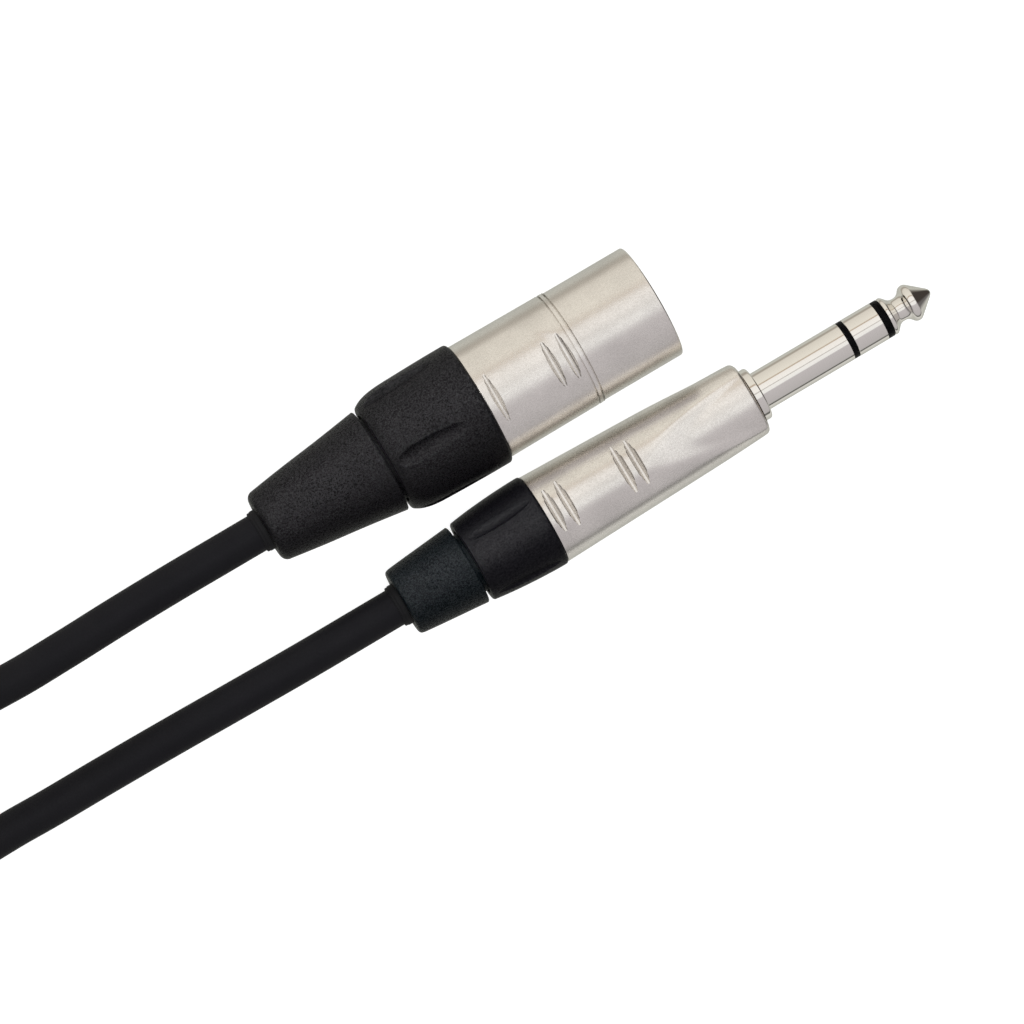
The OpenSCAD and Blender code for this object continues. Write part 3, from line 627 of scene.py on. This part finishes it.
def makeBareCopper(look):
    # twisted strands of the drain wire
    material, tree, shader = startMaterial("bareCopper")
    slant = addNode(tree, "Mapping", {"Vector": onPiece(tree), "Rotation": (0, 0, radians(look["slant"]))})
    strands = addNode(tree, "TexWave", {"Vector": slant.outputs[0], "Scale": look["strandScale"],
                                        "Distortion": look["wander"]}, wave_type="BANDS").outputs["Fac"]
    feed(tree, shader, {
        "Base Color": mixColours(tree, strands, look["dark"], look["bright"]),
        "Normal": bump(tree, strands, look["depth"], look["relief"]), "Metallic": 1,
        "Roughness": look["roughness"]})
    return material


bareCopper = makeBareCopper({
    "dark": (0.30, 0.13, 0.06), "bright": (0.78, 0.42, 0.24), "slant": 38, "strandScale": 1400, "wander": 0.6,
    "depth": 0.7, "relief": 0.0001, "roughness": 0.3})
cable.data.materials.append(cableJacket)
print("materials mixed")

# the XLR plug, in mm along X and out from its axis; a groove is (floor, walls), as troughCutter takes them
xlrShell = {
    "neckRear": -17.65, "neckEnd": 8.15, "neck": 8.45, "pitch": 1.5, "threadDepth": 0.4,
    "threadInset": (0.3, 0.6), "rim": -11.55, "rimRadius": 9.75, "rimEdge": 0.25,
    "lineX": 5.35, "lineRadius": 9.63, "lineStep": 0.1,
    "noseEnd": 19.55, "noseRadius": 9.5, "noseEdge": 0.35, "cavity": 8.45, "cavityEdge": 0.2, "bore": 7.2,
    "insertX": -3.45, "lines": (4.25, 5.05), "lineWidth": 0.3, "lineDepth": 0.6, "lineSlope": 0.03,
    "bodyInset": (0.6, 0.1), "bodySteps": 30, "noseInset": 0.4, "noseSteps": 14,
    "pad": {"above": 9.2, "centre": -2, "half": 49, "rear": (-13, -12), "front": (2.6, -4.0), "easeIn": 1.5,
            "easeOut": 1.8, "depth": 0.34, "power": 1.0},
    "grooveTop": 9.45, "grooveTurn": 5.7,
    "grooves": (
        ((-9.8, -9.56, -0.86), ribbedWalls(-9.68, 0.12, 2, (0.11, 0.13), (0.17, 0.05))),
        ((0.38, 0.64, -0.88), ribbedWalls(0.51, 0.13, 2, (0.13, 0.17), (0.14, 0.05))),
        ((2.88, 3.14, -0.66), ribbedWalls(3.01, 0.13, 2, (0.13, 0.17), (0.12, 0.05)))),
    "keyway": {"back": 2.75, "drop": 8.2, "sides": (7.5, 3.2, 1.5)},
}


def makeXlrShell(shape):
    rear, rim, line, nose = shape["neckRear"], shape["rim"], shape["lineX"], shape["noseEnd"]
    neck, bore, cavity, noseRadius = shape["neck"], shape["bore"], shape["cavity"], shape["noseRadius"]
    rimEdge, noseEdge, lip = shape["rimEdge"], shape["noseEdge"], shape["cavityEdge"]
    taper = (shape["rimRadius"] - shape["lineRadius"]) / (line - rim)

    def bodyRadius(x):
        return shape["rimRadius"] - taper * (x - rim)

    outline = [(rear, shape["neckEnd"])]
    outline += threadStations(shape, rear, rim)
    outline += [(rim, neck), (rim, shape["rimRadius"] - rimEdge)]
    outline += roundedEdge(rim + rimEdge, shape["rimRadius"] - rimEdge, rimEdge, 180, 90, 3)[1:]
    start, end = rim + shape["bodyInset"][0], shape["lines"][0] - shape["bodyInset"][1]
    for i in range(shape["bodySteps"] + 1):
        x = start + (end - start) * i / shape["bodySteps"]
        outline.append((x, bodyRadius(x)))
    for x in shape["lines"]:
        r, far, slope = bodyRadius(x), x + shape["lineWidth"], shape["lineSlope"]
        floor = r - shape["lineDepth"]
        outline += [(x, r), (x + slope, floor), (far - slope, floor), (far, r)]
    start, end, steps = line + shape["lineStep"], nose - shape["noseInset"], shape["noseSteps"]
    outline += [(line, shape["lineRadius"]), (start, noseRadius)]
    outline += [(start + (end - start) * i / steps, noseRadius) for i in range(1, steps + 1)]
    outline += roundedEdge(nose - noseEdge, noseRadius - noseEdge, noseEdge, 90, 0, 5)[1:]
    outline += [(nose, cavity + lip), (nose - lip, cavity), (shape["insertX"], cavity),
                (shape["insertX"], bore), (rear, bore), outline[0]]
    shell = turnedPiece("xlrShell", xlrAxis, outline, 192)
    pressPad(shell, xlrAxis, shape["pad"])
    y, z = xlrAxis
    # one shallow groove near the collar and two lens grooves before the lines
    for (x0, x1, depth), walls in shape["grooves"]:
        floor = (x0, x1, z + shape["grooveTop"] + depth)
        cutAway(shell, troughCutter(xlrAxis, floor, walls, shape["grooveTurn"]))
    keyway = shape["keyway"]
    cutAway(shell, boxPiece((nose - keyway["back"], y, z - keyway["drop"]), keyway["sides"]))
    finishPiece(shell, satinNickel, "plugs_and_cable", "xlr_shell", 28)


makeXlrShell(xlrShell)


# the collars and boots of both plugs
def makeCollar(name, axis, shape, material, body, node):
    rear, rim, neck, hole = shape["rear"], shape["rim"], shape["neck"], shape["hole"]
    edge, lip = shape["frontEdge"], shape["neckEdge"]
    outline = [(rear, shape["endRadius"])] + smoothStations(shape["swell"], 4)
    outline += roundedEdge(rim - edge, shape["frontRadius"] - edge, edge, 90, 0, shape["edgeSteps"])[1:]
    outline += [(rim, neck + lip), (rim - lip, neck)] if lip else [(rim, neck)]
    outline += [(shape["innerX"], neck), (shape["innerX"], hole), (rear, hole), outline[0]]
    collar = turnedPiece(name, axis, outline, shape["sides"])
    for angle in shape["scoops"]:
        cutAway(collar, fluteCutter(axis, shape["scoop"], angle))
    finishPiece(collar, material, body, node, 24)


def makeBoot(name, axis, shape, material, body, node):
    tail, head, flangeX, flange = shape["tail"], shape["head"], shape["flangeX"], shape["flange"]
    corner, bore, neck, edge = shape["corner"], shape["bore"], shape["neck"], shape["headEdge"]
    outline = [(tail, bore + shape["boreEdge"]), (tail, shape["tailRadius"])]
    outline += roundedEdge(tail + corner, shape["cornerAt"], corner, 180, *shape["cornerEnd"])[1:]
    outline += smoothStations(shape["sweep"], shape["sweepSteps"])
    outline += [(head - edge, shape["headRadius"]), (head, shape["headRadius"] - edge), (head, neck),
                (flangeX, neck), (flangeX, flange), (flangeX + shape["flangeWidth"], flange)]
    outline += shape["mouth"] + [(tail + shape["boreEdge"], bore), outline[0]]
    finishPiece(turnedPiece(name, axis, outline, 128), material, body, node, 30)


xlrCollar = {
    "rear": -28.65, "rim": -11.55, "endRadius": 8.78, "frontRadius": 10.4, "frontEdge": 0.6, "edgeSteps": 6,
    "swell": [(-28.55, 8.93), (-28.35, 9.08), (-27.6, 9.5), (-26.6, 9.84), (-25.4, 10.08), (-23.8, 10.22),
              (-21, 10.3), (-18, 10.36), (-15, 10.4), (-12.3, 10.4)],
    "neck": 8.5, "neckEdge": 0.1, "hole": 7.75, "innerX": -26.65, "sides": 160,
    "scoop": {"x": -22.4, "surface": 10.3, "depth": 0.85, "width": 2.1, "length": 10.5, "tilt": 3.2},
    "scoops": (-12, 60, 132, 204, -84),
}
makeCollar("xlrCollar", xlrAxis, xlrCollar, xlrMoulding, "xlr_collar_body", "xlr_collar")

xlrBoot = {
    "tail": -49.95, "tailRadius": 4.7, "corner": 1.3, "cornerAt": 4.7, "cornerEnd": (96, 7), "head": -29.25,
    "headRadius": 8.65, "headEdge": 0.15, "neck": 7.0, "flange": 8.35, "flangeX": -26.45, "flangeWidth": 1.5,
    "bore": 3.6, "boreEdge": 0.25, "mouth": [(-24.95, 6.1), (-33.95, 3.6)],
    "sweep": [(-48.35, 6.06), (-42.95, 6.84), (-35.95, 7.72), (-29.75, 8.61)], "sweepSteps": 5,
}
makeBoot("xlrBoot", xlrAxis, xlrBoot, xlrMoulding, "xlr_boot_body", "xlr_boot")

# rubber sleeve that shows as a ring behind a boot; X is from the boot's tail
grommet = {"back": -1.3, "front": 8, "hole": 3.04, "edge": 0.15, "lip": 3.35,
           "step": [(-0.85, 3.35), (-0.8, 3.42), (-0.7, 3.45)], "radius": 3.45}


def makeGrommet(name, axis, tail, node, shape):
    back, front, hole, edge = tail + shape["back"], tail + shape["front"], shape["hole"], shape["edge"]
    inner = shape["lip"] - edge
    outline = [(back, hole), (back, inner)] + roundedEdge(back + edge, inner, edge, 180, 90, 3)[1:]
    outline += [(tail + x, r) for x, r in shape["step"]]
    outline += [(front, shape["radius"]), (front, hole), outline[0]]
    sleeve = turnedPiece(name, axis, outline, 96)
    finishPiece(sleeve, softRubber, "plugs_and_cable", node, 30)


makeGrommet("xlrGrommet", xlrAxis, -49.95, "xlr_grommet", grommet)
makeGrommet("trsGrommet", trsAxis, -37.35, "trs_grommet", grommet)
print("XLR plug done")

# the TRS plug; a facet is (angle, depth), and a groove is (distance from the rim, depth)
trsBarrel = {
    "neckRear": -16.95, "neckEnd": 5.7, "neck": 6, "pitch": 1, "threadDepth": 0.25, "threadInset": (0.3, 0.4),
    "rim": -11.95, "rimEdge": 0.1, "rearRadius": 7.5, "front": 25.45, "frontRadius": 6.375, "edge": 0.8,
    "neckBore": 4.9, "bore": 5.35, "wall": 3, "shaftHole": 4.45, "bodyInset": 0.3, "bodySteps": 46,
    "facet": {"above": 5.6, "half": 55, "rear": (5, 25), "front": (30, 30), "easeIn": 9, "easeOut": 1,
              "power": 0.75},
    "facets": ((-8, 0.8), (112, 0.35), (-128, 0.35)),
    "grooves": ((1.55, 0.95), (3.85, 1.1), (14.05, 1.25), (16.35, 1.15)), "grooveTurn": -3.3,
    "floorHalf": 0.15, "ribs": 3, "ribHalf": 0.13, "shallow": (0.11, 0.15), "steep": (0.22, 0.06),
}


def makeTrsBarrel(shape):
    rim, front, rear, wall = shape["rim"], shape["front"], shape["neckRear"], shape["wall"]
    neck, neckBore, bore, shaftHole = shape["neck"], shape["neckBore"], shape["bore"], shape["shaftHole"]
    edge, rimEdge, rearRadius = shape["edge"], shape["rimEdge"], shape["rearRadius"]
    slope = (rearRadius - shape["frontRadius"]) / (front - rim)
    outline = [(rear, shape["neckEnd"])]
    outline += threadStations(shape, rear, rim)
    outline += [(rim, neck), (rim, rearRadius - rimEdge), (rim + rimEdge, rearRadius)]
    inset, steps = shape["bodyInset"], shape["bodySteps"]
    for i in range(steps):
        along = inset + (front - rim - edge - inset) * i / steps
        outline.append((rim + along, rearRadius - slope * along))
    outline += roundedEdge(front - edge, shape["frontRadius"] - edge, edge, 88, 0, 7)
    outline += [(front, shaftHole), (front - wall, shaftHole), (front - wall, bore), (rim + wall, bore),
                (rim + wall, neckBore), (rear, neckBore), outline[0]]
    barrel = turnedPiece("trsBarrel", trsAxis, outline, 192)
    for centre, depth in shape["facets"]:
        pressPad(barrel, trsAxis, {**shape["facet"], "centre": centre, "depth": depth})
    for offset, deep in shape["grooves"]:
        middle = rim + offset
        top = trsAxis[1] + rearRadius - slope * offset
        floor = (middle - shape["floorHalf"], middle + shape["floorHalf"], top - deep)
        lips = [(deep * share, run) for share, run in (shape["shallow"], shape["steep"])]
        walls = ribbedWalls(middle, shape["ribHalf"], shape["ribs"], *lips)
        cutAway(barrel, troughCutter(trsAxis, floor, walls, shape["grooveTurn"]))
    finishPiece(barrel, satinNickel, "plugs_and_cable", "trs_barrel", 28)


makeTrsBarrel(trsBarrel)

trsCollar = {
    "rear": -24.84, "rim": -11.95, "endRadius": 6.6, "frontRadius": 7.7, "frontEdge": 0.4, "edgeSteps": 5,
    "swell": [(-24.65, 6.8), (-23.4, 6.98), (-21.5, 7.2), (-19, 7.42), (-16.5, 7.58), (-14, 7.68),
              (-12.5, 7.7)],
    "neck": 6.05, "neckEdge": 0, "hole": 5.6, "innerX": -23.45, "sides": 144,
    "scoop": {"x": -19.6, "surface": 7.45, "depth": 0.62, "width": 1.35, "length": 7.8, "tilt": 2.2},
    "scoops": (28, 118, -62, -152),
}
makeCollar("trsCollar", trsAxis, trsCollar, trsCollarMoulding, "trs_collar_body", "trs_collar")

trsBoot = {
    "tail": -37.35, "tailRadius": 4.9, "corner": 0.6, "cornerAt": 4.95, "cornerEnd": (100, 5), "head": -25.58,
    "headRadius": 6.65, "headEdge": 0.18, "neck": 5.0, "flange": 5.85, "flangeX": -23.25, "flangeWidth": 1.2,
    "bore": 3.6, "boreEdge": 0.2, "mouth": [(-22.05, 3.6)],
    "sweep": [(-36.55, 5.62), (-34, 5.88), (-31, 6.16), (-28, 6.43), (-25.9, 6.63)], "sweepSteps": 4,
}
makeBoot("trsBoot", trsAxis, trsBoot, trsBootMoulding, "trs_boot_body", "trs_boot")

# the shaft: gap1 and gap2 are where its two black rings start; the tip's outline is from where the tip starts
shaft = {
    "radius": 3.175, "base": 18.05, "front": 25.45, "root": 26.95, "rootRadius": 4.4, "rootEdge": 0.4,
    "flange": 5.3, "flangeBack": 3.02, "gap1": 42.65, "ring": 43.6, "gap2": 48.85, "tip": 49.95, "edge": 0.06,
    "sleeveBore": 2.42, "ringBack": 2.2, "ringTube": (1.52, 1.95), "tipBack": 6.5, "tipRod": 0.9,
    "tipFace": 2.9,
    "tipWaist": [(0.1, 3.06), (0.3, 3.16), (0.6, 3.15), (0.85, 2.98), (1.1, 2.72), (1.4, 2.38), (1.7, 2.13),
                 (2.05, 1.99), (2.5, 1.95), (2.95, 2.0), (3.3, 2.18), (3.6, 2.45), (3.85, 2.75), (4.1, 2.95),
                 (4.45, 3.07), (4.8, 3.07), (5.1, 2.97), (5.35, 2.78)],
    "tipCone": [(5.4, 2.74), (6.4, 1.9), (7.4, 1.04), (7.75, 0.76), (7.98, 0.52), (8.12, 0.3)],
    "tipEnd": 8.2, "pinhole": 0.02,
    "insulators": (("trsTipInsulator", "trs_tip_insulator", "gap2", "tip", (0.92, 1.5), 3.6),
                   ("trsRingInsulator", "trs_ring_insulator", "gap1", "ring", (1.97, 2.4), 0.2)),
    "insulatorEdge": (0.08, 0.05, 0.02),
}


def closeEnds(piece):
    # the pinholes at both ends of the tip
    editPiece(piece)
    bpy.ops.mesh.select_all(action="DESELECT")
    bpy.ops.mesh.select_non_manifold(extend=False)
    bpy.ops.mesh.fill_holes(sides=0)
    turnAllOutwards()
    leaveEdit()


def makeContact(name, outline, node):
    contact = turnedPiece(name, trsAxis, outline, 160)
    if outline[0] != outline[-1]:
        closeEnds(contact)
    finishPiece(contact, polishedNickel, "plugs_and_cable", node, 30)


def makeShaft(shape):
    r, base, edge, start = shape["radius"], shape["base"], shape["edge"], shape["tip"]
    bore, flange, rootEdge = shape["sleeveBore"], shape["flange"], shape["rootEdge"]
    flangeX, rootRadius = shape["front"] - shape["flangeBack"], shape["rootRadius"]
    outline = [(base, bore), (base, flange), (flangeX, flange), (flangeX, rootRadius)]
    outline += roundedEdge(shape["root"] - rootEdge, rootRadius - rootEdge, rootEdge, 90, 0, 6)
    outline += [(shape["root"], r), (shape["gap1"] - edge, r), (shape["gap1"], r - edge),
                (shape["gap1"], bore), outline[0]]
    makeContact("trsSleeve", outline, "trs_sleeve")
    back = base - shape["ringBack"]
    bore, tube = shape["ringTube"]
    outline = [(back, bore), (back, tube), (shape["ring"], tube), (shape["ring"], r - edge),
               (shape["ring"] + edge, r), (shape["gap2"] - edge, r), (shape["gap2"], r - edge),
               (shape["gap2"], bore), (back, bore)]
    makeContact("trsRing", outline, "trs_ring")
    back, rod = base - shape["tipBack"], shape["tipRod"]
    outline = [(back, shape["pinhole"]), (back, rod), (start, rod), (start, shape["tipFace"])]
    outline += smoothStations([(start + x, wide) for x, wide in shape["tipWaist"]], 3)
    outline += [(start + x, wide) for x, wide in shape["tipCone"]]
    outline.append((start + shape["tipEnd"], shape["pinhole"]))
    makeContact("trsTip", outline, "trs_tip")
    edge, cornerDrop, drop = shape["insulatorEdge"]
    for name, node, rear, front, (bore, tube), reach in shape["insulators"]:
        x0, x1, back = shape[rear], shape[front], base - reach
        outline = [(back, bore), (back, tube), (x0, tube), (x0, r - cornerDrop), (x0 + edge, r - drop),
                   (x1 - edge, r - drop), (x1, r - cornerDrop), (x1, bore), (back, bore)]
        insulator = turnedPiece(name, trsAxis, outline, 144)
        finishPiece(insulator, trsCollarMoulding, "plugs_and_cable", node, 30)


makeShaft(shaft)
print("TRS plug done")

# the tie round the hank, a strap whose loose end laps over the top
tie = {"x": -199, "y": 1, "width": 16, "thick": 1.3, "inner": (16.6, 26.4), "corner": 3.3, "cornerSteps": 8,
       "lap": 8, "lapShare": (0.99, 0.98), "edge": 0.28, "edgeSteps": 3, "edgeAngle": 40}


def softEdges(piece, width, steps, angle):
    bevel = piece.modifiers.new("edges", "BEVEL")
    bevel.width = width * mm
    bevel.segments = steps
    bevel.limit_method = "ANGLE"
    bevel.angle_limit = radians(angle)
    applyModifier(piece, bevel)


def makeTie(shape):
    thick = shape["thick"]
    wide, high = shape["inner"][0] + thick, shape["inner"][1] + thick
    strap = boxPiece((shape["x"], shape["y"], high / 2 + thick / 2), (shape["width"], wide, high))
    strap.name = strap.data.name = "hankTie"
    editPiece(strap)
    bpy.ops.mesh.select_mode(type="FACE")
    bpy.ops.mesh.select_all(action="DESELECT")
    leaveEdit()
    for face in strap.data.polygons:
        face.select = abs(face.normal.x) > 0.9   # the two open sides
    editPiece(strap)
    bpy.ops.mesh.delete(type="ONLY_FACE")
    bpy.ops.mesh.select_mode(type="EDGE")
    bpy.ops.mesh.select_all(action="DESELECT")
    leaveEdit()
    for edge in strap.data.edges:
        a, b = (strap.data.vertices[i].co for i in edge.vertices)
        edge.select = abs(a.x - b.x) > mm   # the four corners
    editPiece(strap)
    bpy.ops.mesh.bevel(offset=(shape["corner"] + thick / 2) * mm, segments=shape["cornerSteps"],
                       affect="EDGES")
    turnAllOutwards()
    leaveEdit()
    skin = strap.modifiers.new("skin", "SOLIDIFY")
    skin.thickness = thick * mm
    skin.offset = 0
    skin.use_even_offset = True
    applyModifier(strap, skin)
    narrow, thin = shape["lapShare"]
    lap = boxPiece((shape["x"], shape["y"], high + thick + thick / 2),
                   (shape["width"] * narrow, shape["lap"], thick * thin))
    for piece in (strap, lap):
        softEdges(piece, shape["edge"], shape["edgeSteps"], shape["edgeAngle"])
    selectOnly(strap)
    lap.select_set(True)
    bpy.ops.object.join()
    finishPiece(strap, tieWebbing, "plugs_and_cable", "hank_tie", 35)
    return strap


hankTie = makeTie(tie)
print("hank tied")

# finishes for the nodes' own solids
solidFinishes = (
    (insertMoulding, ("xlr_insert",)),
    (contactGold, ("xlr_pin_1", "xlr_pin_2", "xlr_pin_3")),
    (tinnedBrass, ("xlr_ground_spring", "trs_tip_lug", "trs_ring_lug", "trs_sleeve_lug")),
    (naturalPlastic, ("xlr_chuck", "trs_chuck", "trs_liner")),
    (pressedFibre, ("trs_lug_washer",)),
    (xlrCores, ("xlr_conductors",)),
    (trsCores, ("trs_conductors",)),
    (bareCopper, ("xlr_drain_wire", "trs_drain_wire")),
    (dullSolder, ("xlr_solder_joints", "trs_solder_joints")),
    (cableJacket, ("xlr_cable_end", "trs_cable_end", "cable_run_xlr", "cable_hank", "cable_run_trs")),
    (satinNickel, ("xlr_shell", "trs_barrel")),
    (polishedNickel, ("trs_tip", "trs_ring", "trs_sleeve")),
    (xlrMoulding, ("xlr_collar", "xlr_boot")),
    (trsBootMoulding, ("trs_boot",)),
    (trsCollarMoulding, ("trs_collar", "trs_tip_insulator", "trs_ring_insulator")),
    (softRubber, ("xlr_grommet", "trs_grommet")),
    (tieWebbing, ("hank_tie",)),
)
for material, names in solidFinishes:
    for name in names:
        frame["nodes"][name].data.materials.clear()
        frame["nodes"][name].data.materials.append(material)
print("solids finished")

# the studio; lamps are (name, place, size, power), in metres and watts
studio = {
    # what metal sees round the plugs: degrees from straight up, towards +Y, and the colour there
    "surround": [
        (-180, (0.46, 0.47, 0.43)), (-140, (0.60, 0.60, 0.56)), (-117, (0.80, 0.79, 0.76)),
        (-111, (0.14, 0.14, 0.13)), (-104, (0.14, 0.14, 0.13)), (-99, (0.54, 0.52, 0.53)),
        (-24, (0.62, 0.59, 0.61)), (-21, (1.0, 1.0, 1.0)), (-2, (1.05, 1.04, 1.03)), (0, (0.55, 0.52, 0.5)),
        (2, (0.55, 0.52, 0.5)), (4, (1.08, 1.06, 1.04)), (31, (1.04, 1.01, 0.98)), (34, (0.55, 0.44, 0.34)),
        (37, (0.55, 0.44, 0.34)), (41, (0.94, 0.90, 0.82)), (98, (0.80, 0.76, 0.69)),
        (107, (0.44, 0.40, 0.35)), (116, (0.44, 0.41, 0.36)), (128, (0.64, 0.64, 0.59)),
        (180, (0.46, 0.47, 0.43))],
    # darker towards both ends of the plugs, in two tones that change across Y
    "ends": ((0.16, 0.15, 0.15), (0.06, 0.05, 0.045)), "endsSpan": (0.74, 0.92), "flankSpan": (-0.3, -0.16),
    "fill": 0.1, "base": 0.3, "baseGlow": 0.92, "baseSize": 6, "baseZ": -0.0002,
    "strips": (("overheadStrip", (-0.04, 0.045, 0.55), (0.5, 0.1), 6.6),
               ("sideStrip", (-0.04, 0.42, 0.26), (0.5, 0.2), 3.4)),
    "keys": (("overheadKey", (-0.05, -0.12, 1.3), 0.8, 12.0), ("sideKey", (-0.1, 1.35, 0.6), 0.7, 6.0)),
}
white = (1, 1, 1)


def mixShaders(tree, share, plain, other):
    return addNode(tree, "MixShader", {0: share, 1: plain, 2: other}).outputs[0]


def makeSurround(look):
    world = bpy.data.worlds.new("studio")
    bpy.context.scene.world = world
    world.use_nodes = True
    tree = world.node_tree
    tree.nodes.clear()
    split = addNode(tree, "SeparateXYZ", {0: addNode(tree, "TexCoord").outputs["Generated"]}).outputs
    turn = maths(tree, "ARCTAN2", split["Y"], split["Z"])
    ramp = addNode(tree, "ValToRGB", {0: remap(tree, turn, -pi, pi)})
    stops = ramp.color_ramp.elements
    stops[0].position, stops[0].color = 0, (*look["surround"][0][1], 1)
    stops[1].position, stops[1].color = 1, (*look["surround"][-1][1], 1)
    for angle, colour in look["surround"][1:-1]:
        stops.new((angle + 180) / 360).color = (*colour, 1)
    ends = remap(tree, maths(tree, "ABSOLUTE", split["X"]), *look["endsSpan"])
    endTint = mixColours(tree, remap(tree, split["Y"], *look["flankSpan"]), *look["ends"])
    around = mixColours(tree, ends, ramp.outputs["Color"], endTint)
    seen, mirrored, soft = (addNode(tree, "Background", {"Color": colour, "Strength": strength}).outputs[0]
                            for colour, strength in ((white, 1), (around, 1), (white, look["fill"])))
    rays = addNode(tree, "LightPath").outputs
    clear = maths(tree, "MAXIMUM", rays["Is Camera Ray"], rays["Is Transmission Ray"])
    addNode(tree, "OutputWorld", {
        0: mixShaders(tree, clear, mixShaders(tree, rays["Is Glossy Ray"], soft, mirrored), seen)})


def makeFloor(look):
    deselectAll()
    bpy.ops.mesh.primitive_plane_add(size=look["baseSize"], location=(0, 0, look["baseZ"]))
    floor = bpy.context.object
    floor.name = "floor"
    material = bpy.data.materials.new("paleFloor")
    material.use_nodes = True
    tree = material.node_tree
    tree.nodes.clear()
    matt = addNode(tree, "BsdfDiffuse", {"Color": (look["base"],) * 3}).outputs[0]
    glow = addNode(tree, "Emission", {"Color": white, "Strength": look["baseGlow"]}).outputs[0]
    both = addNode(tree, "AddShader", {0: matt, 1: glow}).outputs[0]
    fromCamera = addNode(tree, "LightPath").outputs["Is Camera Ray"]
    addNode(tree, "OutputMaterial", {0: mixShaders(tree, fromCamera, matt, both)})
    floor.data.materials.append(material)
    floor.visible_glossy = False   # metal sees the studio's own pale base instead


def makeLamp(name, place, power, shape, *sides):
    data = bpy.data.lights.new(name, "AREA")
    data.shape = shape
    data.size, data.size_y = sides[0], sides[-1]
    data.energy = power
    light = bpy.data.objects.new(name, data)
    bpy.context.scene.collection.objects.link(light)
    light.location = place
    light.rotation_euler = (-light.location).to_track_quat("-Z", "Y").to_euler()
    return light


mouldings = bpy.data.collections.new("mouldings")
for piece in bpy.context.scene.objects:
    if piece.name in ("xlrCollar", "xlrBoot", "trsCollar", "trsBoot"):
        mouldings.objects.link(piece)
makeSurround(studio)
makeFloor(studio)
for name, place, sides, power in studio["strips"]:
    # soft strips that draw the highlights on the black mouldings
    strip = makeLamp(name, place, power, "RECTANGLE", *sides)
    strip.data.diffuse_factor = 0
    strip.light_linking.receiver_collection = mouldings
for name, place, size, power in studio["keys"]:
    makeLamp(name, place, power, "DISK", size).visible_glossy = False
bpy.context.scene.view_settings.view_transform = "Standard"
print("studio lit")
